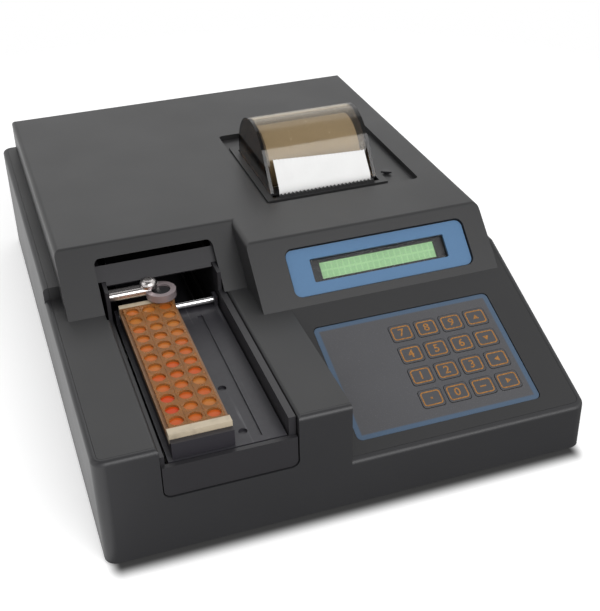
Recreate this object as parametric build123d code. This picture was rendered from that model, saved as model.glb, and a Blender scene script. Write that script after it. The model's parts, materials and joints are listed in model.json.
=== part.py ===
"""Bench reader for strips of microplate wells, modelled in millimetres.

Model coordinates: x runs right from the left side of the case, y runs back from its
front face and z runs up from the bench. Each piece is centred on the case when it is
written, so the origin of the files is the middle of the footprint at bench level.
"""

from build123d import *
import math
import os

# Case
case_width = 252.0
case_depth = 346.0
case_wall = 3.0
case_floor = 3.0
corner_radius = 6.0
least_radius = 0.5
rim_round = 2.4
rim_share = 0.8
foot_height = 2.0
foot_radius = 8.0
foot_inset = 20.0
foot_recess = 1.0
seam_gap = 0.15
skirt_depth = 8.0
seat_width = 2.4
cut_past = 1.0
cut_through = 5.0

# Levels above the bench
deck_level = 62.5
ledge_rise = 7.5
hood_rise = 27.5
keypad_front_level = 28.0

# Plan of the upper cover
cover_wall = 2.6
hood_left_inset = 9.0
hood_right_inset = 6.5
hood_back_inset = 4.0
hood_round = 3.0
step_x = 122.5
hump_x = 107.5
ridge_y = 120.0
display_run = 30.0
hood_foot_lap = 1.5
hood_run = 29.5
ledge_lap = 3.5

# Well in the deck and tunnel mouth in the hood
well_left = 30.0
well_right = 96.0
notch_level = 34.0
notch_radius = 4.0
mouth_drop = 6.0
well_round = 1.8
well_round_end = 1.0
mouth_side_margin = 1.5
mouth_round = 3.2

# Carriage channel
channel_gap = 0.6
channel_left_wall = 2.0
channel_right_wall = 3.5
channel_floor_top = 38.0
channel_floor_thickness = 2.5
channel_lip_level = 51.5
channel_lip_thickness = 2.5
channel_left_level = 56.0
channel_right_level = 61.8
channel_tunnel_drop = 17.0
channel_end_room = 9.7
channel_back_level = 48.4
tunnel_wall_setback = 2.5

# Carriage
carriage_travel = 110.0
plate_left = 34.5
plate_thickness = 2.5
plate_top = 51.7
plate_tail = 8.8
plate_front_gap = 0.7
plate_side_gap = 0.7
light_slot_width = 4.0
groove_width = 2.8
groove_depth = 1.0
groove_x = 79.0
detent_radius = 2.2
detent_x = 72.5
guide_rod_radius = 3.0
guide_rod_level = 44.0
guide_rod_inset = 10.0
running_gap = 0.05
bush_width = 10.0
bush_length = 14.0
bush_end_margin = 6.0
bush_bottom_gap = 1.2

# Rack and pinion
gear_module = 1.0
pinion_teeth = 16
pinion_width = 6.0
pinion_x = 75.5
pinion_inset = 6.3
pressure_angle = 20.0
gear_backlash = 0.16
rack_base = 3.7
rack_end_margin = 4.0
shaft_radius = 2.0
motor_size = 35.0
motor_length = 32.0
motor_chamfer = 4.0
shaft_seat = 10.0
shaft_end_gap = 1.0
drive_window_margin = 3.0

# Strips
strip_columns = 3
strip_wells = 12
well_pitch = 9.0
strip_gap = 0.1
strip_end = 0.25
strip_top = 63.0
strip_flange = 2.2
cup_inset = 0.5
cup_wall = 0.5
cup_bottom = 52.4
cup_floor = 0.8
sample_gap = 0.05
sample_drop = 1.2
strips_left = 38.15
strips_front = 13.5

# Strip frame and tray
frame_side = 1.3
frame_front = 5.0
frame_back = 4.0
frame_clearance = 0.3
frame_height = 5.2
frame_raise = 0.2
frame_rail_gap = 0.05
frame_ledge = 0.2
tray_wall = 1.5
tray_lift = 0.2
tray_front = 5.0
tray_front_thickness = 3.2
tray_front_level = 60.5
tray_seat_gap = 0.1
tray_travel = 18.0
rod_block_length = 6.0
rod_seat = 1.0
tray_rod_radius = 2.0
tray_rod_level = 54.8
lug_width = 1.9
lug_level = 57.7
lug_gap = 0.3

# Detector over the tunnel
ring_radius = 8.2
ring_bore = 5.2
ring_bottom = 64.4
ring_height = 4.0
arm_width = 7.5
arm_height = 5.2
arm_lift = 0.4
arm_offset = 4.0
arm_round = 2.2
arm_screw_radius = 4.8
arm_screw_rise = 3.6
arm_screw_inset = 2.4
arm_screw_sink = 0.6
lens_setback = 4.5
lens_thickness = 1.2
cell_height = 3.0
baffle_setback = 3.0
baffle_thickness = 2.0
baffle_start = 16.6
baffle_side_gap = 0.3
baffle_lap = 2.5
baffle_slot_start = 28.4
baffle_slot_end = 34.4
baffle_slot_inset = 0.6

# Lamp, filters and their motor under the channel
wheel_radius = 24.0
wheel_thickness = 3.0
wheel_level = 26.5
filter_pitch_radius = 18.0
filter_radius = 5.0
filter_count = 5
filter_gap = 0.05
wheel_bearing = 27.0
wheel_hub_radius = 5.0
wheel_shaft_radius = 2.0
filter_motor_radius = 10.0
filter_motor_top = 24.0
wheel_shaft_drop = 8.0
wheel_bore_drop = 9.0
lamp_box = 17.0
lamp_box_depth = 22.0
lamp_box_top = 25.0
lamp_bore = 6.0
lamp_radius = 4.0
lamp_top = 21.0
lamp_base_height = 5.0
light_hole_radius = 3.5

# Display
display_left_margin = 20.1
display_right_margin = 19.6
display_height = 26.9
display_rise = 19.1
display_round = 4.0
pocket_gap = 0.6
display_pocket = 3.0
bezel_thickness = 1.5
display_backing = 2.5
window_side = 12.65
window_height = 13.5
window_thickness = 1.2
panel_side = 5.75
panel_height = 9.5
panel_raise = 0.5
lcd_board_lap = 2.25
lcd_board_height = 32.0
lcd_board_thickness = 1.6
lcd_case_thickness = 4.0

# Keypad
keypad_left_margin = 7.3
keypad_right_margin = 21.2
keypad_length = 70.7
keypad_centre = 46.2
keypad_round = 3.0
keypad_pocket = 1.5
overlay_thickness = 1.0
keypad_rim = 4.0
key_columns = 4
key_rows = 4
key_pitch_x = 14.5
key_pitch_y = 14.1
key_field_inset = 33.95
key_field_y = 46.3
key_width = 12.2
key_length = 10.6
key_round = 1.6
key_gap = 0.3
key_stand = 0.2
key_foot = 0.4
key_travel = 0.5
keypad_board_thickness = 1.6

# Printer
recess_side = 4.05
recess_right_margin = 24.5
recess_setback = 10.5
recess_room = 52.0
recess_depth = 3.2
recess_round = 3.0
paper_width = 57.5
printer_inset = 79.1
printer_wall = 3.0
printer_lap = 7.0
printer_room = 34.0
printer_drop = 26.0
printer_floor = 2.0
flange_width = 1.3
flange_thickness = 1.2
flange_back = 3.0
roll_setback = 45.0
roll_rise = 1.0
roll_radius = 23.0
roll_bore = 6.0
ear_thickness = 1.5
ear_gap = 0.3
ear_width = 16.0
stub_length = 5.0
smoked_radius = 28.0
smoked_wall = 2.0
smoked_rise = 2.0
smoked_toe = 9.0
smoked_side_gap = 0.5
smoked_seat_gap = 0.4
hinge_radius = 1.9
hinge_pin_radius = 0.95
hinge_length = 8.0
hinge_end_gap = 1.0
hinge_offset = 19.0
hinge_set_back = 2.2
hinge_lug_thickness = 2.0
hinge_gap = 0.3
platen_radius = 5.5
platen_drop = 9.0
platen_setback = 11.3
platen_shaft_radius = 2.0
shaft_seat_depth = 1.0
platen_end_gap = 0.4
paper_thickness = 0.2
paper_gap = 0.15
paper_kink_rise = 1.0
paper_run = 10.5
paper_rise = 16.0
head_thickness = 2.6
head_drop = 4.0
head_height = 11.0
slot_width = 3.6
front_plate_thickness = 1.5
tear_edge_height = 2.2
tear_tooth_pitch = 2.3
feed_side = 5.65
feed_setback = 12.5
feed_size = 4.2
feed_round = 0.5
feed_height = 1.0
feed_stem_radius = 1.4
feed_travel = 0.8
feed_gap = 0.35

# Rear panel
panel_left_margin = 19.0
panel_right_margin = 12.0
panel_bottom = 15.0
panel_top = 57.0
panel_thickness = 2.0
panel_lap = 4.0
inlet_inset = 43.0
inlet_z = 36.0
inlet_width = 50.0
inlet_height = 27.0
inlet_flange = 2.4
inlet_round = 3.0
inlet_body_depth = 22.0
inlet_body_gap = 0.1
socket_width = 24.0
socket_height = 16.5
socket_depth = 18.0
socket_offset = 9.0
pin_length = 11.0
pin_width = 4.0
pin_thickness = 2.0
pin_spacing = 14.0
pin_drop = 4.0
rocker_offset = 15.5
rocker_width = 12.0
rocker_height = 20.0
rocker_depth = 7.0
rocker_gap = 0.4
rocker_tilt = 7.0
rocker_pin_radius = 1.2
port_spacing = 46.0
port_z = 36.0
port_width = 31.0
port_height = 12.5
port_flange = 0.8
port_shell_width = 17.0
port_shell_height = 8.4
port_shell_length = 1.6
port_body_depth = 11.0

# Boards, transformer and posts on the case floor
board_left = 134.5
board_right_margin = 10.0
board_front = 16.0
board_gap = 32.0
board_level = 11.0
board_thickness = 1.6
board_post_radius = 3.5
board_post_inset = 7.0
chip_height = 3.0
transformer_inset_x = 48.0
transformer_inset_y = 57.0
transformer_width = 54.0
transformer_depth = 46.0
transformer_height = 44.0
transformer_core = 20.0
channel_post_radius = 4.0
channel_post_inset = 9.0
channel_post_front = 22.0
screw_radius = 1.5
screw_head_radius = 3.0
screw_head_height = 1.6
screw_length = 8.0
screw_inset = 12.0

# Places that follow from the sizes above
roof_level = deck_level + hood_rise
ledge_level = deck_level + ledge_rise
sky_level = 2 * roof_level
crease_y = ridge_y - display_run
strips_end_y = strips_front + strip_wells * well_pitch
plate_front_y = channel_gap + channel_lip_thickness + plate_front_gap
plate_back_y = strips_end_y + plate_tail
plate_length = plate_back_y - plate_front_y
channel_back_y = plate_back_y + carriage_travel + channel_end_room
pinion_y = plate_back_y - pinion_inset
lens_y = strips_end_y + lens_setback
tunnel_wall_y = strips_end_y + tunnel_wall_setback
hood_foot_y = strips_end_y - hood_foot_lap
hood_top_y = hood_foot_y + hood_run
ledge_front_y = hood_top_y - ledge_lap
mouth_level = roof_level - mouth_drop
channel_tunnel_level = roof_level - channel_tunnel_drop
strip_width = well_pitch - strip_gap
cup_radius = strip_width / 2 - cup_inset
cup_bore = cup_radius - cup_wall
sample_level = strip_top - sample_drop
display_left = hump_x + display_left_margin
display_right = case_width - display_right_margin
display_width = display_right - display_left
display_x = (display_left + display_right) / 2
window_width = display_width - 2 * window_side
panel_width = window_width - 2 * panel_side
lcd_board_width = window_width + 2 * lcd_board_lap
keypad_left = step_x + keypad_left_margin
keypad_right = case_width - keypad_right_margin
keypad_width = keypad_right - keypad_left
keypad_x = (keypad_left + keypad_right) / 2
key_field_x = keypad_right - key_field_inset
printer_x = case_width - printer_inset
printer_half = (paper_width / 2 + 2 * ear_gap + ear_thickness + smoked_side_gap
                + smoked_wall + printer_wall)
recess_left = printer_x - printer_half - recess_side
recess_right = case_width - recess_right_margin
recess_front = hood_top_y + recess_setback
printer_front = recess_front + printer_lap
roll_y = printer_front + roll_setback
recess_back = roll_y + recess_room
printer_back = roll_y + printer_room
printer_bottom = roof_level - printer_drop
roll_level = roof_level + roll_rise
smoked_level = roof_level + smoked_rise
platen_level = roof_level - platen_drop
platen_y = printer_front + platen_setback
paper_kink_level = roof_level + paper_kink_rise
head_top = roof_level - head_drop
feed_x = printer_x + printer_half + feed_side
feed_y = printer_front + feed_setback
inlet_x = case_width - inlet_inset
port_x = inlet_x - port_spacing
panel_left = port_x - panel_left_margin
panel_right = case_width - panel_right_margin
transformer_x = case_width - transformer_inset_x
transformer_y = case_depth - transformer_inset_y
board_right = case_width - board_right_margin
board_back = transformer_y - transformer_depth / 2 - board_gap

# Slopes and shared thicknesses
key_slope = math.atan2(deck_level - keypad_front_level, crease_y)
display_slope = math.atan2(hood_rise, display_run)
hood_slope = math.atan2(hood_rise, hood_run)
floor_top = foot_height + case_floor
cover_edge = case_wall + seam_gap


def block(x0, x1, y0, y1, z0, z1):
    """Box between two corners."""
    return Pos((x0 + x1) / 2, (y0 + y1) / 2, (z0 + z1) / 2) * Box(x1 - x0, y1 - y0, z1 - z0)


def rod_x(y, z, radius, x0, x1):
    """Cylinder along x."""
    return Pos((x0 + x1) / 2, y, z) * Rot(0, 90, 0) * Cylinder(radius, x1 - x0)


def rod_y(x, z, radius, y0, y1):
    """Cylinder along y."""
    return Pos(x, (y0 + y1) / 2, z) * Rot(90, 0, 0) * Cylinder(radius, y1 - y0)


def rod_z(x, y, radius, z0, z1):
    """Cylinder along z."""
    return Pos(x, y, (z0 + z1) / 2) * Cylinder(radius, z1 - z0)


def prism_x(points, x0, x1):
    """Outline in y and z, carried along x."""
    outline = make_face(Polyline(*points, close=True))
    return extrude(Plane.YZ.offset(x0) * outline, amount=x1 - x0)


def rounded_block(x0, x1, y0, y1, z0, z1, radius):
    """Box with rounded upright edges."""
    outline = RectangleRounded(x1 - x0, y1 - y0, radius)
    return Pos((x0 + x1) / 2, (y0 + y1) / 2, z0) * extrude(outline, amount=z1 - z0)


def slope_plane(x, y, z, angle):
    """Plane lying on a slope: its own y climbs the slope and its z points out of it."""
    return Plane(origin=(x, y, z), x_dir=(1, 0, 0), z_dir=(0, -math.sin(angle), math.cos(angle)))


def slab(plane, width, length, low, high, radius=0.0, x=0.0, y=0.0):
    """Plate on a plane between two heights, with rounded corners if a radius is given."""
    outline = RectangleRounded(width, length, radius) if radius else Rectangle(width, length)
    return plane * Pos(x, y, low) * extrude(outline, amount=high - low)


keypad_plane = slope_plane(keypad_x, 0, keypad_front_level, key_slope)
display_plane = slope_plane(display_x, crease_y, deck_level, display_slope)
hood_plane = slope_plane((well_left + well_right) / 2, hood_foot_y, deck_level, hood_slope)


def rim_form(inset, drop, shrink):
    """Body under the deck, the keypad slope and the ledge.

    inset moves the outer walls in, drop lowers the top square to its faces and shrink
    moves the step between deck and keypad sideways.
    """
    top = deck_level - drop
    ledge = ledge_level - drop
    slope_drop = drop / math.cos(key_slope)
    front = keypad_front_level - slope_drop
    rise = math.tan(key_slope)
    ledge_y = (ledge - front) / rise
    left = [(0, 0), (0, top), (ledge_front_y + drop, top), (ledge_front_y + drop, ledge),
            (case_depth, ledge), (case_depth, 0)]
    right = [(0, 0), (0, front), (ledge_y, ledge), (case_depth, ledge), (case_depth, 0)]
    split = step_x - shrink
    body = prism_x(left, 0, split) + prism_x(right, split, case_width)
    plan = rounded_block(inset, case_width - inset, inset, case_depth - inset,
                         -1.0, sky_level, max(corner_radius - inset, least_radius))
    return body & plan


def skirt_form():
    """Body under the lower edge of the cover's skirt, which rests on the seat in the case."""
    return rim_form(0, skirt_depth, cover_wall)


def hood_form(drop, base):
    """Body of the hood, the display hump and the roof above a base, lowered by a wall thickness."""
    left_side = hood_left_inset + drop
    right_side = case_width - hood_right_inset - drop
    back = case_depth - hood_back_inset - drop
    top = roof_level - drop
    lean = hood_run / hood_rise
    lean_shift = drop / math.cos(hood_slope) * lean
    fall = display_run / hood_rise
    fall_shift = drop / math.cos(display_slope) * fall
    deck_height = top - base
    hood_front = hood_top_y + lean_shift - drop * lean
    hump_front = ridge_y + fall_shift - drop * fall
    left = [(hood_front - deck_height * lean, base), (hood_front, top), (back, top), (back, base)]
    right = [(hump_front - deck_height * fall, base), (hump_front, top), (back, top), (back, base)]
    hood = prism_x(left, left_side, hump_x + drop)
    hump = prism_x(right, hump_x + drop, right_side)
    return hood + hump


def lower_case():
    """Tub with the outer walls, the stepped rim and the posts on its floor."""
    shell = rim_form(0, 0, 0)
    shell -= block(-cut_past, case_width + cut_past, -cut_past, case_depth + cut_past,
                   -cut_past, foot_height)
    wide = rounded_block(case_wall, case_width - case_wall, case_wall, case_depth - case_wall,
                         floor_top, sky_level, max(corner_radius - case_wall, least_radius))
    seat = case_wall + seat_width
    narrow = rounded_block(seat, case_width - seat, seat, case_depth - seat,
                           floor_top, sky_level, least_radius)
    shell -= (wide - skirt_form()) + narrow
    shell = round_rim(shell)
    shell -= front_notch(0, notch_level, notch_radius) + well_relief()
    inside = case_depth - seat - cut_past
    shell -= block(panel_left, panel_right, inside, case_depth + cut_past, panel_bottom, panel_top)
    room = [panel_left - panel_lap, panel_right + panel_lap, inside, case_depth - case_wall]
    shell -= block(*room, panel_bottom - panel_lap, panel_top + panel_lap)
    for x, y in channel_posts():
        shell += rod_z(x, y, channel_post_radius, floor_top, channel_floor_top - channel_floor_thickness)
    for x, y in board_posts():
        shell += rod_z(x, y, board_post_radius, floor_top, board_level)
    for x, y in foot_places():
        shell -= rod_z(x, y, foot_radius + seam_gap / 2, foot_height - cut_past, foot_height + foot_recess)
    for x, y in screw_places():
        shell -= rod_z(x, y, screw_radius + seam_gap / 2, foot_height - cut_past, floor_top + cut_past)
        shell -= rod_z(x, y, screw_head_radius + seam_gap,
                       foot_height - cut_past, foot_height + screw_head_height)
    return shell


def round_rim(shell):
    """Round the outer top edges of the long straight rims."""
    def is_outer(edge):
        middle = edge.center()
        side = min(middle.X, case_width - middle.X, middle.Y, case_depth - middle.Y)
        return side < 0.01 and middle.Z > foot_height + 5 and abs(edge.tangent_at(0.5).Z) < 0.9
    return fillet(shell.edges().filter_by(is_outer), min(rim_round, case_wall * rim_share))


def well_relief():
    """What is taken off the deck's two edges along the well to round them, up to the hood."""
    span = (-cut_past, hood_foot_y - well_round_end)
    low = deck_level - well_round
    relief = None
    for x, side in ((well_left, -1), (well_right, 1)):
        axis = x + side * well_round
        corner = block(min(x, axis), max(x, axis), *span, low, deck_level + cut_past)
        corner -= rod_y(axis, low, well_round, *span)
        relief = corner if relief is None else relief + corner
    return relief


def front_notch(gap, level, radius):
    """Opening in the front wall for the channel lip, with round lower corners."""
    left = well_left + gap
    right = well_right - gap
    outline = [(left, level), (right, level), (right, sky_level), (left, sky_level)]
    face = make_face(Polyline(*outline, close=True))
    low = face.vertices().sort_by(Axis.Y)[0:2]
    face = fillet(low, radius)
    return extrude(Plane.XZ.offset(1) * face, amount=-(case_wall + seat_width + 2))


def channel_posts():
    """Places of the four posts that carry the channel."""
    left = well_left + channel_post_inset
    right = well_right - channel_post_inset
    back = channel_back_y - channel_post_inset
    return [(x, y) for y in (channel_post_front, back) for x in (left, right)]


def board_posts():
    """Places of the four posts that carry the main board."""
    xs = (board_left + board_post_inset, board_right - board_post_inset)
    ys = (board_front + board_post_inset, board_back - board_post_inset)
    return [(x, y) for x in xs for y in ys]


def corner_places(inset):
    """Four places set in from the corners of the footprint."""
    return [(x, y) for x in (inset, case_width - inset) for y in (inset, case_depth - inset)]


def foot_places():
    """Centres of the feet."""
    return corner_places(foot_inset)


def screw_places():
    """Centres of the case screws, inboard of the feet."""
    reach = foot_inset + foot_radius + screw_inset
    return [(x, y) for x in (reach, case_width - reach) for y in (screw_inset, case_depth - screw_inset)]


def upper_cover():
    """One moulded shell: deck, keypad slope, display hump, hood and roof."""
    hood = hood_form(0, deck_level - cover_wall)
    top_edges = hood.edges().filter_by(lambda edge: edge.center().Z > roof_level - 0.01)
    hood = fillet(top_edges, hood_round)
    shell = rim_form(cover_edge, 0, 0) + hood
    shell -= rim_form(cover_edge + cover_wall, cover_wall, cover_wall)
    shell -= hood_form(cover_wall, deck_level - cover_wall - skirt_depth)
    shell -= skirt_form()
    shell += display_backing_pad()
    shell -= slab(display_plane, display_width + 2 * pocket_gap, display_height + 2 * pocket_gap,
                  -display_pocket, cut_through, display_round + pocket_gap, y=display_rise)
    shell -= slab(display_plane, window_width, window_height, -2 * cut_through, cut_through, 1.0,
                  y=display_rise)
    shell -= slab(keypad_plane, keypad_width + pocket_gap, keypad_length + pocket_gap,
                  -keypad_pocket, cut_through, keypad_round, y=keypad_centre)
    shell -= slab(keypad_plane, keypad_width - 2 * keypad_rim, keypad_length - 2 * keypad_rim,
                  -2 * cut_through, cut_through, keypad_round, y=keypad_centre)
    shell += block(recess_left - cover_wall, recess_right + cover_wall,
                   recess_front - cover_wall, recess_back + cover_wall,
                   roof_level - recess_depth - cover_wall, roof_level - cover_wall)
    shell -= rounded_block(recess_left, recess_right, recess_front, recess_back,
                           roof_level - recess_depth, roof_level + cut_through, recess_round)
    shell -= block(*printer_body_plan(seam_gap), printer_bottom, roof_level + cut_through)
    shell -= rod_z(feed_x, feed_y, feed_stem_radius + feed_gap, printer_bottom, roof_level)
    shell -= block(well_left, well_right, -cut_past, channel_back_y + channel_gap, 0, deck_level)
    shell -= well_relief()
    return shell - tunnel_mouth()


def tunnel_mouth():
    """Cut for the mouth in the hood, with its two top corners rounded."""
    cut = block(well_left - mouth_side_margin, well_right - mouth_side_margin,
                hood_foot_y - cut_through, hood_top_y + cut_through, 0, mouth_level)
    return fillet(cut.edges().filter_by(Axis.Y).group_by(Axis.Z)[-1], mouth_round)


def display_backing_pad():
    """Thicker wall behind the display pocket."""
    depth = display_pocket + display_backing
    return slab(display_plane, display_width + 4 * pocket_gap, display_height + 4 * pocket_gap,
                -depth, -cover_wall / 2, display_round, y=display_rise)


def printer_body_plan(gap):
    """Left, right, front and back of the printer body in the roof."""
    return (printer_x - printer_half - gap, printer_x + printer_half + gap,
            printer_front - gap, printer_back + gap)


def rubber_feet():
    """Four feet in recesses of the floor."""
    feet = [rod_z(x, y, foot_radius, 0, foot_height + foot_recess) for x, y in foot_places()]
    return Compound(feet)


def case_screws():
    """Screws up through the floor of the case."""
    screws = []
    for x, y in screw_places():
        head_top = foot_height + screw_head_height
        head = rod_z(x, y, screw_head_radius, head_top - screw_head_height + 0.2, head_top)
        socket = rod_z(x, y, screw_radius * 0.7, foot_height, head_top - 0.5)
        screws.append(head - socket + rod_z(x, y, screw_radius, head_top, head_top + screw_length))
    return Compound(screws)


def channel_sides():
    """Left and right outer faces of the channel."""
    return well_left + channel_gap, well_right - channel_gap


def carriage_channel():
    """Liner of the well: floor, side walls, front lip and the tall walls in the tunnel."""
    left, right = channel_sides()
    front = channel_gap
    bottom = channel_floor_top - channel_floor_thickness
    body = block(left, right, front, channel_back_y, bottom, channel_floor_top)
    body += block(left, left + channel_left_wall, front, tunnel_wall_y, bottom, channel_left_level)
    body += block(right - channel_right_wall, right, front, tunnel_wall_y, bottom, channel_right_level)
    for x in (left, right - channel_right_wall):
        body += block(x, x + channel_left_wall, tunnel_wall_y, channel_back_y, bottom, channel_tunnel_level)
    body += block(right - channel_right_wall, right, tunnel_wall_y, channel_back_y,
                  bottom, channel_right_level)
    wide = (left - cut_past, right + cut_past)
    lip_back = front + channel_lip_thickness
    body -= block(*wide, -cut_past, lip_back, channel_lip_level, sky_level)
    notch = front_notch(channel_gap, notch_level + channel_gap, notch_radius - channel_gap)
    body &= notch + block(*wide, case_wall + seat_width, case_depth, 0, sky_level)
    body += notch & block(*wide, front, lip_back, 0, channel_lip_level)
    body += block(left, right, channel_back_y - channel_lip_thickness, channel_back_y,
                  bottom, channel_back_level)
    window_half = gear_module * pinion_teeth / 2 + drive_window_margin
    body -= block(pinion_x - pinion_width / 2 - 2, right - channel_right_wall,
                  pinion_y - window_half, pinion_y + window_half, 0, channel_floor_top + 0.5)
    body -= rod_x(pinion_y, pinion_level(), shaft_radius + 0.8, pinion_x, right + cut_past)
    body -= rod_z(optical_x(), lens_y, light_hole_radius, 0, channel_floor_top + cut_past)
    for x in guide_rod_places():
        body -= rod_y(x, guide_rod_level, guide_rod_radius, front + rod_seat, channel_back_y - rod_seat)
    return body


def guide_rod_places():
    """x of the two guide rods."""
    left, right = channel_sides()
    return (left + guide_rod_inset, right - guide_rod_inset)


def guide_rods():
    """Polished rods between the lip and the back wall of the channel."""
    rods = [rod_y(x, guide_rod_level, guide_rod_radius, channel_gap + rod_seat, channel_back_y - rod_seat)
            for x in guide_rod_places()]
    return Compound(rods)


def optical_x():
    """x of the light path, over the middle of the last strip."""
    return strips_left + strip_width / 2 + (strip_columns - 1) * well_pitch


def plate_right():
    """Right edge of the carriage plate."""
    return channel_sides()[1] - channel_right_wall - plate_side_gap


def carriage_plate():
    """Flat plate with the light slot, a groove, two detents and the lugs of the tray rod."""
    front = plate_front_y
    back = plate_back_y
    right = plate_right()
    low = plate_top - plate_thickness
    body = block(plate_left, right, front, back, low, plate_top)
    slot_x = optical_x()
    body -= block(slot_x - light_slot_width / 2, slot_x + light_slot_width / 2,
                  strips_front, strips_end_y, low - cut_past, plate_top + cut_past)
    body -= block(groove_x - groove_width / 2, groove_x + groove_width / 2,
                  front + 4, back - rod_block_length - 6, plate_top - groove_depth, plate_top + cut_past)
    for y in (strips_front, strips_front + 4 * well_pitch):
        body -= rod_z(detent_x, y, detent_radius, plate_top - 1.2, plate_top + cut_past)
    for x in (plate_left, right - lug_width):
        lug = block(x, x + lug_width, back - rod_block_length, back, plate_top, lug_level)
        body += lug
    body -= rod_x(tray_rod_y(), tray_rod_level, tray_rod_radius, plate_left + rod_seat, right - rod_seat)
    return body


def tray_rod_y():
    """y of the tray rod, in the middle of the lugs."""
    return plate_back_y - rod_block_length / 2


def tray_rod():
    """Polished rod that the tray slides on."""
    return rod_x(tray_rod_y(), tray_rod_level, tray_rod_radius,
                 plate_left + rod_seat, plate_right() - rod_seat)


def carriage_bushes():
    """Four blocks under the plate that run on the guide rods."""
    top = plate_top - plate_thickness
    low = channel_floor_top + bush_bottom_gap
    front = plate_front_y
    blocks = []
    for x in guide_rod_places():
        half = min(bush_width / 2, abs(x - plate_left), abs(plate_right() - x))
        for y in (front + bush_end_margin, plate_back_y - bush_end_margin - bush_length):
            body = block(x - half, x + half, y, y + bush_length, low, top)
            body -= rod_y(x, guide_rod_level, guide_rod_radius + running_gap,
                          y - cut_past, y + bush_length + cut_past)
            blocks.append(body)
    return Compound(blocks)


def rack_pitch_level():
    """Height of the rack's pitch line."""
    return plate_top - plate_thickness - rack_base - gear_module


def pinion_level():
    """Height of the pinion axis."""
    return rack_pitch_level() - gear_module * pinion_teeth / 2


def carriage_rack():
    """Rack with straight-sided teeth under the plate, one gap over the pinion axis."""
    top = plate_top - plate_thickness
    pitch = math.pi * gear_module
    slope = math.tan(math.radians(pressure_angle))
    tip_level = rack_pitch_level() - gear_module
    root_level = rack_pitch_level() + 1.25 * gear_module
    half_root = pitch / 4 - gear_backlash / 2 + 1.25 * gear_module * slope
    half_tip = pitch / 4 - gear_backlash / 2 - gear_module * slope
    front = plate_front_y + rack_end_margin
    back = plate_back_y - rack_end_margin
    points = [(front, top), (front, root_level)]
    first = math.ceil((front + half_root - pinion_y) / pitch - 0.5)
    last = math.floor((back - half_root - pinion_y) / pitch - 0.5)
    for index in range(first, last + 1):
        middle = pinion_y + (index + 0.5) * pitch
        points.append((middle - half_root, root_level))
        points.append((middle - half_tip, tip_level))
        points.append((middle + half_tip, tip_level))
        points.append((middle + half_root, root_level))
    points.append((back, root_level))
    points.append((back, top))
    half = pinion_width / 2 + 0.5
    return prism_x(points, pinion_x - half, pinion_x + half)


def pinion_profile():
    """Outline of the pinion: involute flanks sampled at five points, one tooth straight up."""
    pitch_radius = gear_module * pinion_teeth / 2
    base = pitch_radius * math.cos(math.radians(pressure_angle))
    outer = pitch_radius + gear_module
    root = pitch_radius - 1.25 * gear_module

    def involute(radius):
        grip = math.acos(min(1.0, base / radius))
        return math.tan(grip) - grip

    half_tooth = math.pi / (2 * pinion_teeth) - gear_backlash / (4 * pitch_radius)
    start = max(root, base)
    flank = []
    for step in range(5):
        radius = start + (outer - start) * step / 4
        angle = half_tooth + involute(pitch_radius) - involute(radius)
        flank.append((radius, angle))
    points = []
    for tooth in range(pinion_teeth):
        middle = math.pi / 2 + 2 * math.pi * tooth / pinion_teeth
        points.append((root, middle - flank[0][1] - 0.02))
        points += [(radius, middle - angle) for radius, angle in flank]
        points += [(radius, middle + angle) for radius, angle in reversed(flank)]
        points.append((root, middle + flank[0][1] + 0.02))
    return [(radius * math.cos(angle), radius * math.sin(angle)) for radius, angle in points]


def drive_pinion():
    """Pinion on the motor's shaft, in mesh with the rack."""
    level = pinion_level()
    half = pinion_width / 2
    points = [(pinion_y + y, level + z) for y, z in pinion_profile()]
    gear = prism_x(points, pinion_x - half, pinion_x + half)
    gear += rod_x(pinion_y, level, shaft_radius, pinion_x, motor_face() + shaft_seat - shaft_end_gap)
    return gear


def motor_face():
    """Front face of the drive motor, on the outside of the channel wall."""
    return channel_sides()[1]


def drive_motor():
    """Square stepping motor on the channel wall, with the bore for its shaft."""
    level = pinion_level()
    half = motor_size / 2
    outline = make_face(Polyline((-half, -half), (half, -half), (half, half), (-half, half), close=True))
    outline = chamfer(outline.vertices(), motor_chamfer)
    face = motor_face()
    body = extrude(Plane.YZ.offset(face) * Pos(pinion_y, level) * outline, amount=motor_length)
    body -= rod_x(pinion_y, level, shaft_radius + running_gap, face - cut_past, face + shaft_seat)
    return body


def strip_places():
    """x of the middle of each strip."""
    return [strips_left + strip_width / 2 + column * well_pitch for column in range(strip_columns)]


def well_places():
    """y of the middle of each well in a strip."""
    return [strips_front + (row + 0.5) * well_pitch for row in range(strip_wells)]


def well_strips():
    """Strips of wells: a flat bar with cups that hang from it."""
    strips = []
    for x in strip_places():
        bar = block(x - strip_width / 2, x + strip_width / 2, strips_front + strip_end,
                    strips_end_y - strip_end, strip_top - strip_flange, strip_top)
        for y in well_places():
            bar += rod_z(x, y, cup_radius, cup_bottom, strip_top - strip_flange / 2)
        for y in well_places():
            bar -= rod_z(x, y, cup_bore, cup_bottom + cup_floor, strip_top + cut_past)
        strips.append(bar)
    return Compound(strips)


def well_samples():
    """Coloured liquid in each well."""
    low = cup_bottom + cup_floor
    drops = [rod_z(x, y, cup_bore - sample_gap, low, sample_level)
             for x in strip_places() for y in well_places()]
    return Compound(drops)


def strip_frame():
    """Pale frame round the strips: full bars at the ends, low rails that carry the strips."""
    left = strips_left - frame_clearance
    right = strips_left + (strip_columns - 1) * well_pitch + strip_width + frame_clearance
    high = strip_top + frame_raise
    low = high - frame_height
    rail_top = strip_top - strip_flange - frame_rail_gap
    ledge = frame_clearance + frame_ledge
    body = block(left - frame_side, right + frame_side, strips_front - frame_front,
                 strips_end_y + frame_back, low, high)
    body -= block(left - frame_side - cut_past, right + frame_side + cut_past,
                  strips_front, strips_end_y, rail_top, high + cut_past)
    body -= block(left + ledge, right - ledge, strips_front, strips_end_y, low - cut_past, high)
    return body


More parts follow.
